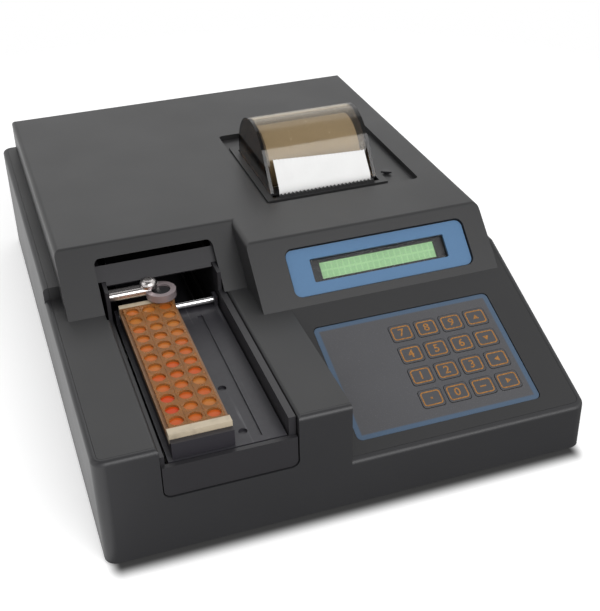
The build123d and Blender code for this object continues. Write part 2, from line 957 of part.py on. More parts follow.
def tray_sides():
    """Left and right faces of the tray."""
    left = strips_left - frame_clearance - frame_side + 0.2
    right = strips_left + (strip_columns - 1) * well_pitch + strip_width + frame_clearance + frame_side - 0.2
    return left, right


def strip_tray():
    """Dark tray under the frame: open in the middle, bored at the back for its rod."""
    left, right = tray_sides()
    low = plate_top + tray_lift
    high = strip_top + 0.2 - frame_height - tray_seat_gap
    back = plate_back_y
    body = block(left, right, tray_front, back, low, high)
    body += block(left, right, tray_front, tray_front + tray_front_thickness, low, tray_front_level)
    body -= block(left + tray_wall, right - tray_wall, tray_front + tray_front_thickness + 1.3,
                  back - rod_block_length, low - cut_past, high + cut_past)
    body -= rod_x(tray_rod_y(), tray_rod_level, tray_rod_radius + running_gap,
                  left - cut_past, right + cut_past)
    return body


def detector_arm():
    """Polished arm from the left tunnel wall to the ring over the light path."""
    x = optical_x()
    wall = channel_sides()[0] + channel_left_wall
    ring = rod_z(x, lens_y, ring_radius, ring_bottom, ring_bottom + ring_height)
    middle = lens_y + arm_offset
    low = ring_bottom + arm_lift
    high = low + arm_height
    arm = block(wall, x, middle - arm_width / 2, middle + arm_width / 2, low, high)
    screw_x = x - ring_radius + arm_screw_inset
    screw = rod_z(screw_x, middle, arm_screw_radius, high - arm_screw_sink, high + arm_screw_rise)
    screw = fillet(screw.edges().sort_by(Axis.Z)[-1], arm_screw_rise * 0.8)
    body = fillet(arm.edges().filter_by(Axis.X), min(arm_round, arm_height * 0.4)) + ring
    return body - rod_z(x, lens_y, ring_bore, ring_bottom - cut_past, high + cut_past) + screw


def detector_lens():
    """Lens in the lower end of the ring."""
    low = ring_bottom + 0.2
    return rod_z(optical_x(), lens_y, ring_bore - 0.02, low, low + lens_thickness)


def detector_cell():
    """Light cell on top of the lens."""
    low = ring_bottom + 0.2 + lens_thickness
    return rod_z(optical_x(), lens_y, ring_bore - 0.1, low, low + cell_height - 1.4)


def light_baffle():
    """Dark sheet close behind the face of the hood, wider than the mouth and slotted along its top."""
    left, right = channel_sides()
    reach = hood_rise / math.sin(hood_slope) + 2 * cut_through
    back = -baffle_setback - baffle_thickness
    mouth_width = well_right - well_left
    sheet = slab(hood_plane, mouth_width + 2 * baffle_lap, reach - baffle_start, back, -baffle_setback,
                 x=-mouth_side_margin, y=(reach + baffle_start) / 2)
    sheet -= slab(hood_plane, mouth_width - 2 * baffle_slot_inset, baffle_slot_end - baffle_slot_start,
                  back - cut_past, cut_past - baffle_setback, x=-mouth_side_margin,
                  y=(baffle_slot_start + baffle_slot_end) / 2)
    shoulder = channel_tunnel_level + baffle_side_gap
    sheet -= block(0, left + channel_left_wall + baffle_side_gap, 0, case_depth, 0, shoulder)
    sheet -= block(right - channel_right_wall - baffle_side_gap, case_width, 0, case_depth, 0, shoulder)
    return sheet - block(0, case_width, 0, case_depth, roof_level - cover_wall, sky_level)


def lamp_centre():
    """The lamp stands under the light path."""
    return optical_x(), lens_y


def lamp_housing():
    """Block with a bore that is open at its top."""
    x, y = lamp_centre()
    body = block(x - lamp_box / 2 + 3, x + lamp_box / 2 + 3, y - lamp_box_depth / 2, y + lamp_box_depth / 2,
                 floor_top, lamp_box_top)
    return body - rod_z(x, y, lamp_bore, floor_top + lamp_base_height, lamp_box_top + cut_past)


def lamp():
    """Small bulb standing in its housing."""
    x, y = lamp_centre()
    low = floor_top + lamp_base_height
    stem = rod_z(x, y, lamp_radius * 0.9, low, lamp_top - lamp_radius)
    return stem + Pos(x, y, lamp_top - lamp_radius) * Sphere(lamp_radius)


def wheel_centre():
    """The filter wheel turns beside the light path."""
    angle = math.radians(wheel_bearing)
    return (optical_x() - filter_pitch_radius * math.cos(angle),
            lens_y + filter_pitch_radius * math.sin(angle))


def filter_places():
    """Centres of the filters, the first in the light path."""
    x, y = wheel_centre()
    start = -math.radians(wheel_bearing)
    step = 2 * math.pi / filter_count
    return [(x + filter_pitch_radius * math.cos(start + step * index),
             y + filter_pitch_radius * math.sin(start + step * index)) for index in range(filter_count)]


def filter_wheel():
    """Flat wheel with its filter holes, hub and shaft."""
    x, y = wheel_centre()
    top = wheel_level + wheel_thickness
    body = rod_z(x, y, wheel_radius, wheel_level, top)
    body += rod_z(x, y, wheel_hub_radius, wheel_level - 1.5, top + 2)
    body += rod_z(x, y, wheel_shaft_radius, filter_motor_top - wheel_shaft_drop, wheel_level)
    for place in filter_places():
        body -= rod_z(*place, filter_radius, wheel_level - cut_past, top + cut_past)
    return body


def colour_filters():
    """Glass discs in the wheel."""
    discs = [rod_z(*place, filter_radius - 0.02, wheel_level + 0.3, wheel_level + wheel_thickness - 0.3)
             for place in filter_places()]
    return Compound(discs)


def filter_motor():
    """Small round motor under the wheel."""
    x, y = wheel_centre()
    body = rod_z(x, y, filter_motor_radius, floor_top, filter_motor_top)
    return body - rod_z(x, y, wheel_shaft_radius + running_gap,
                        filter_motor_top - wheel_bore_drop, filter_motor_top + cut_past)


def display_bezel():
    """Blue surround seated on the floor of its pocket."""
    high = bezel_thickness - display_pocket
    body = slab(display_plane, display_width, display_height, -display_pocket, high, display_round,
                y=display_rise)
    return body - slab(display_plane, window_width, window_height, -display_pocket - cut_past, cut_through,
                       1.0, y=display_rise)


def display_window():
    """Clear pane in the opening behind the bezel."""
    high = -display_pocket - 0.2
    return slab(display_plane, window_width - 0.1, window_height - 0.1, high - window_thickness, high,
                1.0, y=display_rise)


def lcd_level():
    """Depth of the rear of the backing pad under the slope."""
    return -display_pocket - display_backing


def lcd_frame():
    """Dark frame and board of the display, behind the pad."""
    back = lcd_level()
    low = back - lcd_case_thickness - lcd_board_thickness
    body = slab(display_plane, lcd_board_width, lcd_board_height, low, back, 1.0, y=display_rise)
    body += slab(display_plane, window_width - 0.6, window_height - 0.6, back, back + 0.9, 0.5,
                 y=display_rise)
    return body - slab(display_plane, panel_width, panel_height,
                       back - panel_raise - cut_past, back + 2, 0.3, y=display_rise)


def lcd_panel():
    """Green panel in the dark frame."""
    back = lcd_level()
    return slab(display_plane, panel_width - 0.1, panel_height - 0.1, back - panel_raise - cut_past,
                back + 0.3, 0.3, y=display_rise)


def key_places():
    """Places of the keys on the keypad slope, row by row from the top left."""
    places = []
    for row in range(key_rows):
        for column in range(key_columns):
            x = key_field_x - keypad_x + (column - (key_columns - 1) / 2) * key_pitch_x
            y = key_field_y - (row - (key_rows - 1) / 2) * key_pitch_y
            places.append((x, y))
    return places


def keypad_overlay():
    """Thin sheet in the keypad pocket, with a hole for each key."""
    low = -keypad_pocket
    body = slab(keypad_plane, keypad_width, keypad_length, low, low + overlay_thickness,
                keypad_round, y=keypad_centre)
    for x, y in key_places():
        body -= slab(keypad_plane, key_width + 2 * key_gap, key_length + 2 * key_gap,
                     low - cut_past, cut_through, key_round + key_gap, x=x, y=y)
    return body


def key_cap(place):
    """One key, standing just above the sheet."""
    x, y = place
    top = -keypad_pocket + overlay_thickness + key_stand
    return slab(keypad_plane, key_width, key_length, -keypad_pocket - key_foot, top, key_round, x=x, y=y)


def keypad_board():
    """Switch board against the underside of the cover."""
    top = -cover_wall
    return slab(keypad_plane, keypad_width - 2, keypad_length - 2, top - keypad_board_thickness, top,
                2.0, y=keypad_centre)


def printer_inner_half():
    """Half width of the room inside the printer body."""
    return printer_half - printer_wall


def printer_frame():
    """Black insert in the roof: bucket, flange, ears for the roll and lugs for the cover."""
    x0, x1, y0, y1 = printer_body_plan(0)
    recess_level = roof_level - recess_depth
    flange_top = recess_level + flange_thickness
    body = block(x0, x1, y0, y1, printer_bottom, recess_level)
    body += block(x0 - flange_width, x1 + flange_width, y0, y1 + flange_back, recess_level, flange_top)
    inner = printer_inner_half()
    low = printer_bottom + printer_floor
    room_front = y0 + printer_wall
    body -= block(printer_x - inner, printer_x + inner, room_front, y1 - printer_wall,
                  low, flange_top + cut_past)
    slot_back = platen_y - platen_radius - paper_gap + slot_width - paper_thickness
    shelf_back = roll_y - smoked_radius - smoked_seat_gap
    body += block(printer_x - inner, printer_x + inner, slot_back, shelf_back,
                  flange_top - front_plate_thickness, flange_top)
    ear_inner = paper_width / 2 + ear_gap
    for side in (-1, 1):
        near = printer_x + side * ear_inner
        far = near + side * ear_thickness
        ear = block(min(near, far), max(near, far), roll_y - ear_width / 2, roll_y + ear_width / 2,
                    low, roll_level)
        body += ear + rod_x(roll_y, roll_level, ear_width / 2, min(near, far), max(near, far))
        tip = near - side * stub_length
        body += rod_x(roll_y, roll_level, roll_bore, min(tip, far), max(tip, far))
        wall = printer_x + side * (inner + shaft_seat_depth)
        body -= rod_x(platen_y, platen_level, platen_shaft_radius + running_gap,
                      min(wall, printer_x), max(wall, printer_x))
    body += tear_edge(flange_top)
    body += hinge_lugs(flange_top)
    return body


def tear_edge(level):
    """Toothed strip along the front of the paper slot."""
    front = printer_front + printer_wall - 1.4
    back = printer_front + printer_wall
    half = paper_width / 2 + 1
    count = int(2 * half / tear_tooth_pitch)
    pitch = 2 * half / count
    points = [(-half, 0), (half, 0)]
    for tooth in range(count):
        right = half - tooth * pitch
        points.append((right, tear_edge_height * 0.5))
        points.append((right - pitch / 2, tear_edge_height))
    points.append((-half, tear_edge_height * 0.5))
    face = make_face(Polyline(*points, close=True))
    strip = extrude(Plane.XZ * face, amount=-(back - front))
    return Pos(printer_x, front, level) * strip


def hinge_y():
    """y of the smoked cover's hinge axis."""
    return roll_y + smoked_radius + hinge_set_back


def hinge_level():
    """Height of the smoked cover's hinge axis."""
    return roof_level - recess_depth + flange_thickness + smoked_seat_gap + hinge_radius


def hinge_lugs(level):
    """Ears with pins on both outer sides of the cover's knuckles."""
    y = hinge_y()
    z = hinge_level()
    body = None
    for side in (-1, 1):
        outer = printer_x + side * (hinge_offset + hinge_length / 2 + hinge_gap)
        end = outer + side * hinge_lug_thickness
        lug = block(min(outer, end), max(outer, end), y - hinge_radius, y + hinge_radius, level - 0.6, z)
        lug += rod_x(y, z, hinge_radius, min(outer, end), max(outer, end))
        tip = outer - side * (hinge_length - hinge_end_gap)
        lug += rod_x(y, z, hinge_pin_radius, min(tip, end), max(tip, end))
        body = lug if body is None else body + lug
    return body


def printer_cover():
    """Smoked half-round cover, its end walls drawn out to a toe in front, with two knuckles."""
    half = printer_half - printer_wall
    low = roof_level - recess_depth + flange_thickness + smoked_seat_gap
    inner = smoked_radius - smoked_wall
    x0 = printer_x - half
    x1 = printer_x + half
    body = rod_x(roll_y, smoked_level, smoked_radius, x0, x1)
    body &= block(x0, x1, 0, case_depth, smoked_level, sky_level)
    body += block(x0, x1, roll_y - smoked_radius, roll_y + smoked_radius, low, smoked_level)
    room = rod_x(roll_y, smoked_level, inner, x0 + smoked_wall, x1 - smoked_wall)
    room += block(x0 + smoked_wall, x1 - smoked_wall, roll_y - inner, roll_y + inner,
                  low - cut_past, smoked_level)
    body -= room
    reach = smoked_radius + smoked_toe
    depth = smoked_level - low
    turn = math.acos(smoked_radius / math.hypot(reach, depth)) - math.atan2(depth, reach)
    touch = (roll_y - smoked_radius * math.cos(turn), smoked_level + smoked_radius * math.sin(turn))
    toe = [(roll_y - reach, low), (roll_y - inner, low), (roll_y - inner, smoked_level), touch]
    for wall in (x0, x1 - smoked_wall):
        body += prism_x(toe, wall, wall + smoked_wall)
    y = hinge_y()
    z = hinge_level()
    for side in (-1, 1):
        middle = printer_x + side * hinge_offset
        left = middle - hinge_length / 2
        right = middle + hinge_length / 2
        body += rod_x(y, z, hinge_radius, left, right)
        body += block(left, right, roll_y + inner + 0.5, y, low, z + hinge_radius * 0.6)
        body -= rod_x(y, z, hinge_pin_radius + running_gap, left - 0.5, right + 0.5)
    return body


def platen_roller():
    """Rubber roller on a thin shaft."""
    half = paper_width / 2 + 1
    body = rod_x(platen_y, platen_level, platen_radius, printer_x - half, printer_x + half)
    reach = printer_inner_half() + 1 - platen_end_gap
    return body + rod_x(platen_y, platen_level, platen_shaft_radius, printer_x - reach, printer_x + reach)


def paper_roll():
    """Roll of paper on a core that turns on the stubs."""
    half = paper_width / 2
    body = rod_x(roll_y, roll_level, roll_radius, printer_x - half, printer_x + half)
    return body - rod_x(roll_y, roll_level, roll_bore + running_gap,
                        printer_x - half - cut_past, printer_x + half + cut_past)


def paper_strip():
    """End of the paper, up past the platen and leaning back."""
    y = platen_y - platen_radius - paper_gap
    lean = math.atan2(paper_run, paper_rise)
    shift = paper_thickness / math.cos(lean)
    bend = paper_thickness * math.tan(lean / 2)
    points = [(y, platen_level - 3), (y, paper_kink_level - bend),
              (y + paper_run, paper_kink_level + paper_rise),
              (y + paper_run - shift, paper_kink_level + paper_rise),
              (y - paper_thickness, paper_kink_level), (y - paper_thickness, platen_level - 3)]
    return prism_x(points, printer_x - paper_width / 2, printer_x + paper_width / 2)


def print_head():
    """Heating head in front of the paper."""
    back = platen_y - platen_radius - 2 * paper_gap - paper_thickness
    half = paper_width / 2 - 2
    front = printer_front + printer_wall
    thickness = min(head_thickness, back - front)
    return block(printer_x - half, printer_x + half, back - thickness, back,
                 head_top - head_height, head_top)


def feed_button():
    """Three-cornered button in the recess, on a round stem."""
    level = roof_level - recess_depth
    points = []
    for index in range(3):
        angle = math.radians(180 + 120 * index)
        points.append((feed_size * math.cos(angle), feed_size * math.sin(angle)))
    outline = fillet(make_face(Polyline(*points, close=True)).vertices(), feed_round)
    cap = Pos(feed_x, feed_y, level + feed_travel + 0.2) * extrude(outline, amount=feed_height)
    stem = rod_z(feed_x, feed_y, feed_stem_radius, level - cover_wall - 2, level + feed_travel + 0.5)
    return cap + stem


def rear_panel():
    """Metal panel inside the back wall, with cut-outs."""
    y = case_depth - case_wall
    body = block(panel_left - panel_lap, panel_right + panel_lap, y - panel_thickness, y,
                 panel_bottom - panel_lap, panel_top + panel_lap)
    gap = inlet_body_gap
    width = inlet_width - 4
    height = inlet_height - 4
    body -= block(inlet_x - width / 2 - gap, inlet_x + width / 2 + gap,
                  y - cut_through, y + cut_past, inlet_z - height / 2 - gap, inlet_z + height / 2 + gap)
    body -= block(port_x - port_shell_width / 2 - gap, port_x + port_shell_width / 2 + gap,
                  y - cut_through, y + cut_past,
                  port_z - port_shell_height / 2 - gap, port_z + port_shell_height / 2 + gap)
    return body


def rocker_place():
    """x, y and z of the rocker's pivot."""
    return inlet_x + rocker_offset, case_depth - case_wall - 1.5, inlet_z


def power_inlet():
    """Mains inlet with three pins and the pocket of the power switch."""
    y = case_depth - case_wall
    flange = RectangleRounded(inlet_width, inlet_height, inlet_round)
    body = Pos(inlet_x, y + inlet_flange, inlet_z) * extrude(Plane.XZ * flange, amount=inlet_flange)
    width = inlet_width - 4
    height = inlet_height - 4
    body += block(inlet_x - width / 2, inlet_x + width / 2, y - inlet_body_depth, y,
                  inlet_z - height / 2, inlet_z + height / 2)
    socket_x = inlet_x - socket_offset
    mouth = y + inlet_flange
    body -= block(socket_x - socket_width / 2, socket_x + socket_width / 2,
                  mouth - socket_depth, mouth + cut_past,
                  inlet_z - socket_height / 2, inlet_z + socket_height / 2)
    for index in (-1, 0, 1):
        x = socket_x + index * pin_spacing / 2
        z = inlet_z + (pin_drop / 2 if index == 0 else -pin_drop / 2)
        body += block(x - pin_thickness / 2, x + pin_thickness / 2, mouth - socket_depth,
                      mouth - socket_depth + pin_length, z - pin_width / 2, z + pin_width / 2)
    rocker_x, rocker_y, rocker_z = rocker_place()
    half_width = rocker_width / 2 + rocker_gap
    half_height = rocker_height / 2 + rocker_gap
    floor = rocker_y - rocker_depth - 1
    body -= block(rocker_x - half_width, rocker_x + half_width, floor, mouth + cut_past,
                  rocker_z - half_height, rocker_z + half_height)
    for side in (-1, 1):
        tip = rocker_x + side * (rocker_width / 2 - 2)
        root = rocker_x + side * (half_width + 0.5)
        body += rod_x(rocker_y, rocker_z, rocker_pin_radius, min(tip, root), max(tip, root))
    return body


def power_rocker():
    """Rocker with a hollowed face, tipped to one side."""
    x, y, z = rocker_place()
    half = rocker_height / 2 - 0.4
    front = case_depth - y - 0.6
    drop = half * math.tan(math.radians(rocker_tilt))
    points = [(-3.0, -half * 0.55), (drop, -half), (front - drop, -half), (front - drop * 1.6, 0),
              (front - drop, half), (drop, half), (-3.0, half * 0.55)]
    body = prism_x(points, -rocker_width / 2, rocker_width / 2)
    body -= rod_x(0, 0, rocker_pin_radius + running_gap, -rocker_width, rocker_width)
    return Pos(x, y, z) * Rot(rocker_tilt, 0, 0) * body


def serial_port():
    """Nine-way socket: flange inside the wall opening, body behind the panel."""
    y = case_depth - case_wall
    body = block(port_x - port_width / 2, port_x + port_width / 2, y, y + port_flange,
                 port_z - port_height / 2, port_z + port_height / 2)
    body += block(port_x - port_shell_width / 2, port_x + port_shell_width / 2, y - port_body_depth,
                  y + port_flange + port_shell_length,
                  port_z - port_shell_height / 2, port_z + port_shell_height / 2)
    mouth = y + port_flange + port_shell_length
    for row, count in ((1.4, 5), (-1.4, 4)):
        for index in range(count):
            x = port_x + (index - (count - 1) / 2) * 2.77
            body -= rod_y(x, port_z + row, 0.5, mouth - cut_through, mouth + cut_past)
    return body


def main_board():
    """Board on its posts, with the tall parts that stand on it."""
    top = board_level + board_thickness
    body = block(board_left, board_right, board_front, board_back, board_level, top)
    width = board_right - board_left
    depth = board_back - board_front
    for across, along, size_x, size_y in ((0.3, 0.2, 34, 14), (0.7, 0.25, 14, 36), (0.3, 0.45, 30, 9),
                                          (0.7, 0.6, 26, 26), (0.25, 0.75, 30, 9)):
        x = board_left + across * width
        y = board_front + along * depth
        body += block(x - size_x / 2, x + size_x / 2, y - size_y / 2, y + size_y / 2, top, top + chip_height)
    return body


def transformer():
    """Core with its winding block."""
    x = transformer_x
    y = transformer_y
    half = transformer_width / 2
    deep = transformer_depth / 2
    core = block(x - half, x + half, y - transformer_core / 2, y + transformer_core / 2,
                 floor_top, floor_top + transformer_height)
    coil = block(x - half * 0.6, x + half * 0.6, y - deep, y + deep,
                 floor_top + transformer_height * 0.2, floor_top + transformer_height * 0.8)
    return core + coil


pieces = {
    "lower_case": lower_case,
    "upper_cover": upper_cover,
    "rubber_feet": rubber_feet,
    "case_screws": case_screws,
    "carriage_channel": carriage_channel,
    "guide_rods": guide_rods,
    "light_baffle": light_baffle,
    "detector_arm": detector_arm,
    "detector_lens": detector_lens,
    "detector_cell": detector_cell,
    "lamp_housing": lamp_housing,
    "lamp": lamp,
    "filter_motor": filter_motor,
    "drive_motor": drive_motor,
    "main_board": main_board,
    "transformer": transformer,
    "display_bezel": display_bezel,
    "display_window": display_window,
    "lcd_frame": lcd_frame,
    "lcd_panel": lcd_panel,
    "keypad_overlay": keypad_overlay,
    "keypad_board": keypad_board,
    "printer_frame": printer_frame,
    "print_head": print_head,
    "paper_strip": paper_strip,
    "rear_panel": rear_panel,
    "power_inlet": power_inlet,
    "serial_port": serial_port,
    "carriage_plate": carriage_plate,
    "carriage_bushes": carriage_bushes,
    "carriage_rack": carriage_rack,
    "tray_rod": tray_rod,
    "strip_tray": strip_tray,
    "strip_frame": strip_frame,
    "well_strips": well_strips,
    "well_samples": well_samples,
    "drive_pinion": drive_pinion,
    "printer_cover": printer_cover,
    "platen_roller": platen_roller,
    "paper_roll": paper_roll,
    "filter_wheel": filter_wheel,
    "colour_filters": colour_filters,
    "power_rocker": power_rocker,
    "feed_button": feed_button,
}


def write(name, shape):
    """Centre a piece on the footprint and write it."""
    export_step(Pos(-case_width / 2, -case_depth / 2, 0) * shape, "parts/" + name + ".step")


os.makedirs("parts", exist_ok=True)
for name, make in pieces.items():
    write(name, make())
for index, place in enumerate(key_places()):
    write("key_" + str(index + 1), key_cap(place))
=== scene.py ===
"""Looks of the bench reader for strips of wells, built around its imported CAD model.

Sizes in the classes are in millimetres in the maker's own axes: x from the left side of the
case, y from its front face, z from the bench. frame_point() turns them into the frame's metres.
In the studio, the size and fade of the floor and the lamps are in metres.
"""

from __future__ import annotations

import json
import logging
import math
from dataclasses import dataclass
from enum import Enum
from typing import Any, Sequence, Union

import bmesh
import bpy
from mathutils import Matrix, Vector

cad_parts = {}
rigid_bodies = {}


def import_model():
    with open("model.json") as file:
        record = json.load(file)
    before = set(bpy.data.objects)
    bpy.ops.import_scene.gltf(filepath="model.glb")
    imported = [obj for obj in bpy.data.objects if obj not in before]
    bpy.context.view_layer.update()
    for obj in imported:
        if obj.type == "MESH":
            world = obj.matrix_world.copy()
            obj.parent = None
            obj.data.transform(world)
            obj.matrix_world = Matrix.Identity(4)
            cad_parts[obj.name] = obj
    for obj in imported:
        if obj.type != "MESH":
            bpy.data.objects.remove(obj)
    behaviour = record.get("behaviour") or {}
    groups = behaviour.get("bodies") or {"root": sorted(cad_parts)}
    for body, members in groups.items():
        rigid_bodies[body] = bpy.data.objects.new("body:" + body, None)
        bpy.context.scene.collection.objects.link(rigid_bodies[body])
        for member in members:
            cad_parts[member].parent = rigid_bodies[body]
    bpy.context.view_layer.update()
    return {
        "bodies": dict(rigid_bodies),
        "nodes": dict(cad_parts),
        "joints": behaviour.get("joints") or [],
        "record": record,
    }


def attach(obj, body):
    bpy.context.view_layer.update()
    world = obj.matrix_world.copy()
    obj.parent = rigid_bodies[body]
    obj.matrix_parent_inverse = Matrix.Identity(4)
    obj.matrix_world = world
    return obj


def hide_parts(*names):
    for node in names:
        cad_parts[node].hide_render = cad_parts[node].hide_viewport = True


LOG = logging.getLogger("strip_reader")
MM = 0.001
CASE_WIDTH = 252.0
CASE_DEPTH = 346.0

Colour = tuple[float, float, float]
Point = tuple[float, float, float]
Pair = tuple[float, float]

RIGHTWARD: Point = (1.0, 0.0, 0.0)
REARWARD: Point = (0.0, 1.0, 0.0)
UPWARD: Point = (0.0, 0.0, 1.0)
EVEN: Point = (1.0, 1.0, 1.0)
NO_LIGHT: Colour = (0.0, 0.0, 0.0)
NOISE_MIDDLE = 0.5
HALF_CELL = 0.5

SCREEN_KNEE = 0.04045
SCREEN_SLOPE = 12.92
SCREEN_OFFSET = 0.055
SCREEN_POWER = 2.4


def frame_point(x: float, y: float, z: float) -> Vector:
    """Turn a point in the maker's millimetres into the frame's metres.

    Args:
        x: Distance from the left side of the case.
        y: Distance from the front face of the case.
        z: Height above the bench.

    Returns:
        The point in the frame.
    """
    return Vector(((x - CASE_WIDTH / 2) * MM, (y - CASE_DEPTH / 2) * MM, z * MM))


def linear_part(value: int) -> float:
    """Turn one part of a screen colour into the linear number for it, by the sRGB curve.

    Args:
        value: The part as shown on screen, 0 to 255.

    Returns:
        The part as shaders use it, 0 to 1.
    """
    share = value / 255
    if share <= SCREEN_KNEE:
        return share / SCREEN_SLOPE
    return ((share + SCREEN_OFFSET) / (1 + SCREEN_OFFSET)) ** SCREEN_POWER


def linear(red: int, green: int, blue: int) -> Colour:
    """Turn a screen colour, 0 to 255, into the linear numbers that shaders use."""
    return linear_part(red), linear_part(green), linear_part(blue)


def scaled(colour: Colour, share: float) -> Colour:
    """Make a colour darker or paler, but never more than white."""
    return tuple(min(1.0, part * share) for part in colour)


def grey(level: float) -> Colour:
    """Neutral colour of this level."""
    return level, level, level


@dataclass(frozen=True)
class Slope:
    """A sloping face: across runs right, up climbs it and out leaves it."""

    x: float
    y: float
    z: float
    angle: float

    @property
    def across(self) -> Vector:
        """Direction to the right."""
        return Vector(RIGHTWARD)

    @property
    def up(self) -> Vector:
        """Direction up the slope."""
        return Vector((0.0, math.cos(self.angle), math.sin(self.angle)))

    @property
    def out(self) -> Vector:
        """Direction out of the face."""
        return Vector((0.0, -math.sin(self.angle), math.cos(self.angle)))

    def at(self, across: float, up: float, out: float = 0.0) -> Vector:
        """Find a point on the slope.

        Args:
            across: Distance to the right of the slope's own point.
            up: Distance up the slope.
            out: Distance out of the face.

        Returns:
            The point in the frame's metres.
        """
        base = frame_point(self.x, self.y, self.z)
        return base + (self.across * across + self.up * up + self.out * out) * MM


@dataclass(frozen=True)
class Pattern:
    """Noise: its fineness, detail and roughness, how its axes are scaled, and limits for spots."""

    scale: float
    detail: float = 2.0
    roughness: float = 0.5
    stretch: Point = EVEN
    limits: Pair | None = None


class Signal:
    """A node's output that Python's own operators can combine."""

    def __init__(self, shader: "NodeTree", socket: bpy.types.NodeSocket) -> None:
        """Keep the socket and the shader it belongs to."""
        self.shader = shader
        self.socket = socket

    def _math(self, operation: str, *values: "Value") -> "Signal":
        """Add a Math node with these inputs."""
        return self.shader.node("ShaderNodeMath", {"operation": operation}, dict(enumerate(values)))

    def __add__(self, other: "Value") -> "Signal":
        """Sum."""
        return self._math("ADD", self, other)

    def __radd__(self, other: "Value") -> "Signal":
        """Sum, reflected."""
        return self._math("ADD", other, self)

    def __sub__(self, other: "Value") -> "Signal":
        """Difference."""
        return self._math("SUBTRACT", self, other)

    def __rsub__(self, other: "Value") -> "Signal":
        """Difference, reflected."""
        return self._math("SUBTRACT", other, self)

    def __mul__(self, other: "Value") -> "Signal":
        """Product."""
        return self._math("MULTIPLY", self, other)

    def __rmul__(self, other: "Value") -> "Signal":
        """Product, reflected."""
        return self._math("MULTIPLY", other, self)

    def __truediv__(self, other: "Value") -> "Signal":
        """Quotient."""
        return self._math("DIVIDE", self, other)

    def __rtruediv__(self, other: "Value") -> "Signal":
        """Quotient, reflected."""
        return self._math("DIVIDE", other, self)

    def __lt__(self, other: "Value") -> "Signal":
        """One where this is less."""
        return self._math("LESS_THAN", self, other)

    def __gt__(self, other: "Value") -> "Signal":
        """One where this is greater, which is also less-than, reflected."""
        return self._math("GREATER_THAN", self, other)

    def __abs__(self) -> "Signal":
        """Distance from zero."""
        return self._math("ABSOLUTE", self)

    def most(self, other: "Value") -> "Signal":
        """The greater of two values."""
        return self._math("MAXIMUM", self, other)

    def least(self, other: "Value") -> "Signal":
        """The lesser of two values."""
        return self._math("MINIMUM", self, other)

    def sine(self) -> "Signal":
        """Sine of the value."""
        return self._math("SINE", self)

    def root(self) -> "Signal":
        """Square root of the value."""
        return self._math("SQRT", self)

    def fraction(self) -> "Signal":
        """What is left of the value above its whole number."""
        return self._math("FRACT", self)

    def swing(self, amount: float) -> "Signal":
        """A noise's departure from its middle, times an amount."""
        return (self - NOISE_MIDDLE) * amount

    def ramp(self, low: float, high: float) -> "Signal":
        """Add a smooth step.

        Args:
            low: Where it leaves zero.
            high: Where it reaches one.

        Returns:
            The step as a value.
        """
        settings = {"interpolation_type": "SMOOTHSTEP", "clamp": True}
        inputs = {0: self, 1: low, 2: high, 3: 0.0, 4: 1.0}
        return self.shader.node("ShaderNodeMapRange", settings, inputs)

    def along(self, axis: Sequence[float], origin: Sequence[float] = (0.0, 0.0, 0.0)) -> "Signal":
        """Distance of this point from an origin, along an axis.

        Args:
            axis: Direction of unit length.
            origin: Point where the distance is zero.

        Returns:
            The distance as a value.
        """
        product = self.shader.vector("DOT_PRODUCT", self, tuple(axis), "Value")
        return product - Vector(axis).dot(Vector(origin))


Value = Union[float, Signal]


class Ray(Enum):
    """Kinds of light path that floor and surroundings tell apart."""

    CAMERA = "Is Camera Ray"
    GLOSSY = "Is Glossy Ray"
    THROUGH = "Is Transmission Ray"


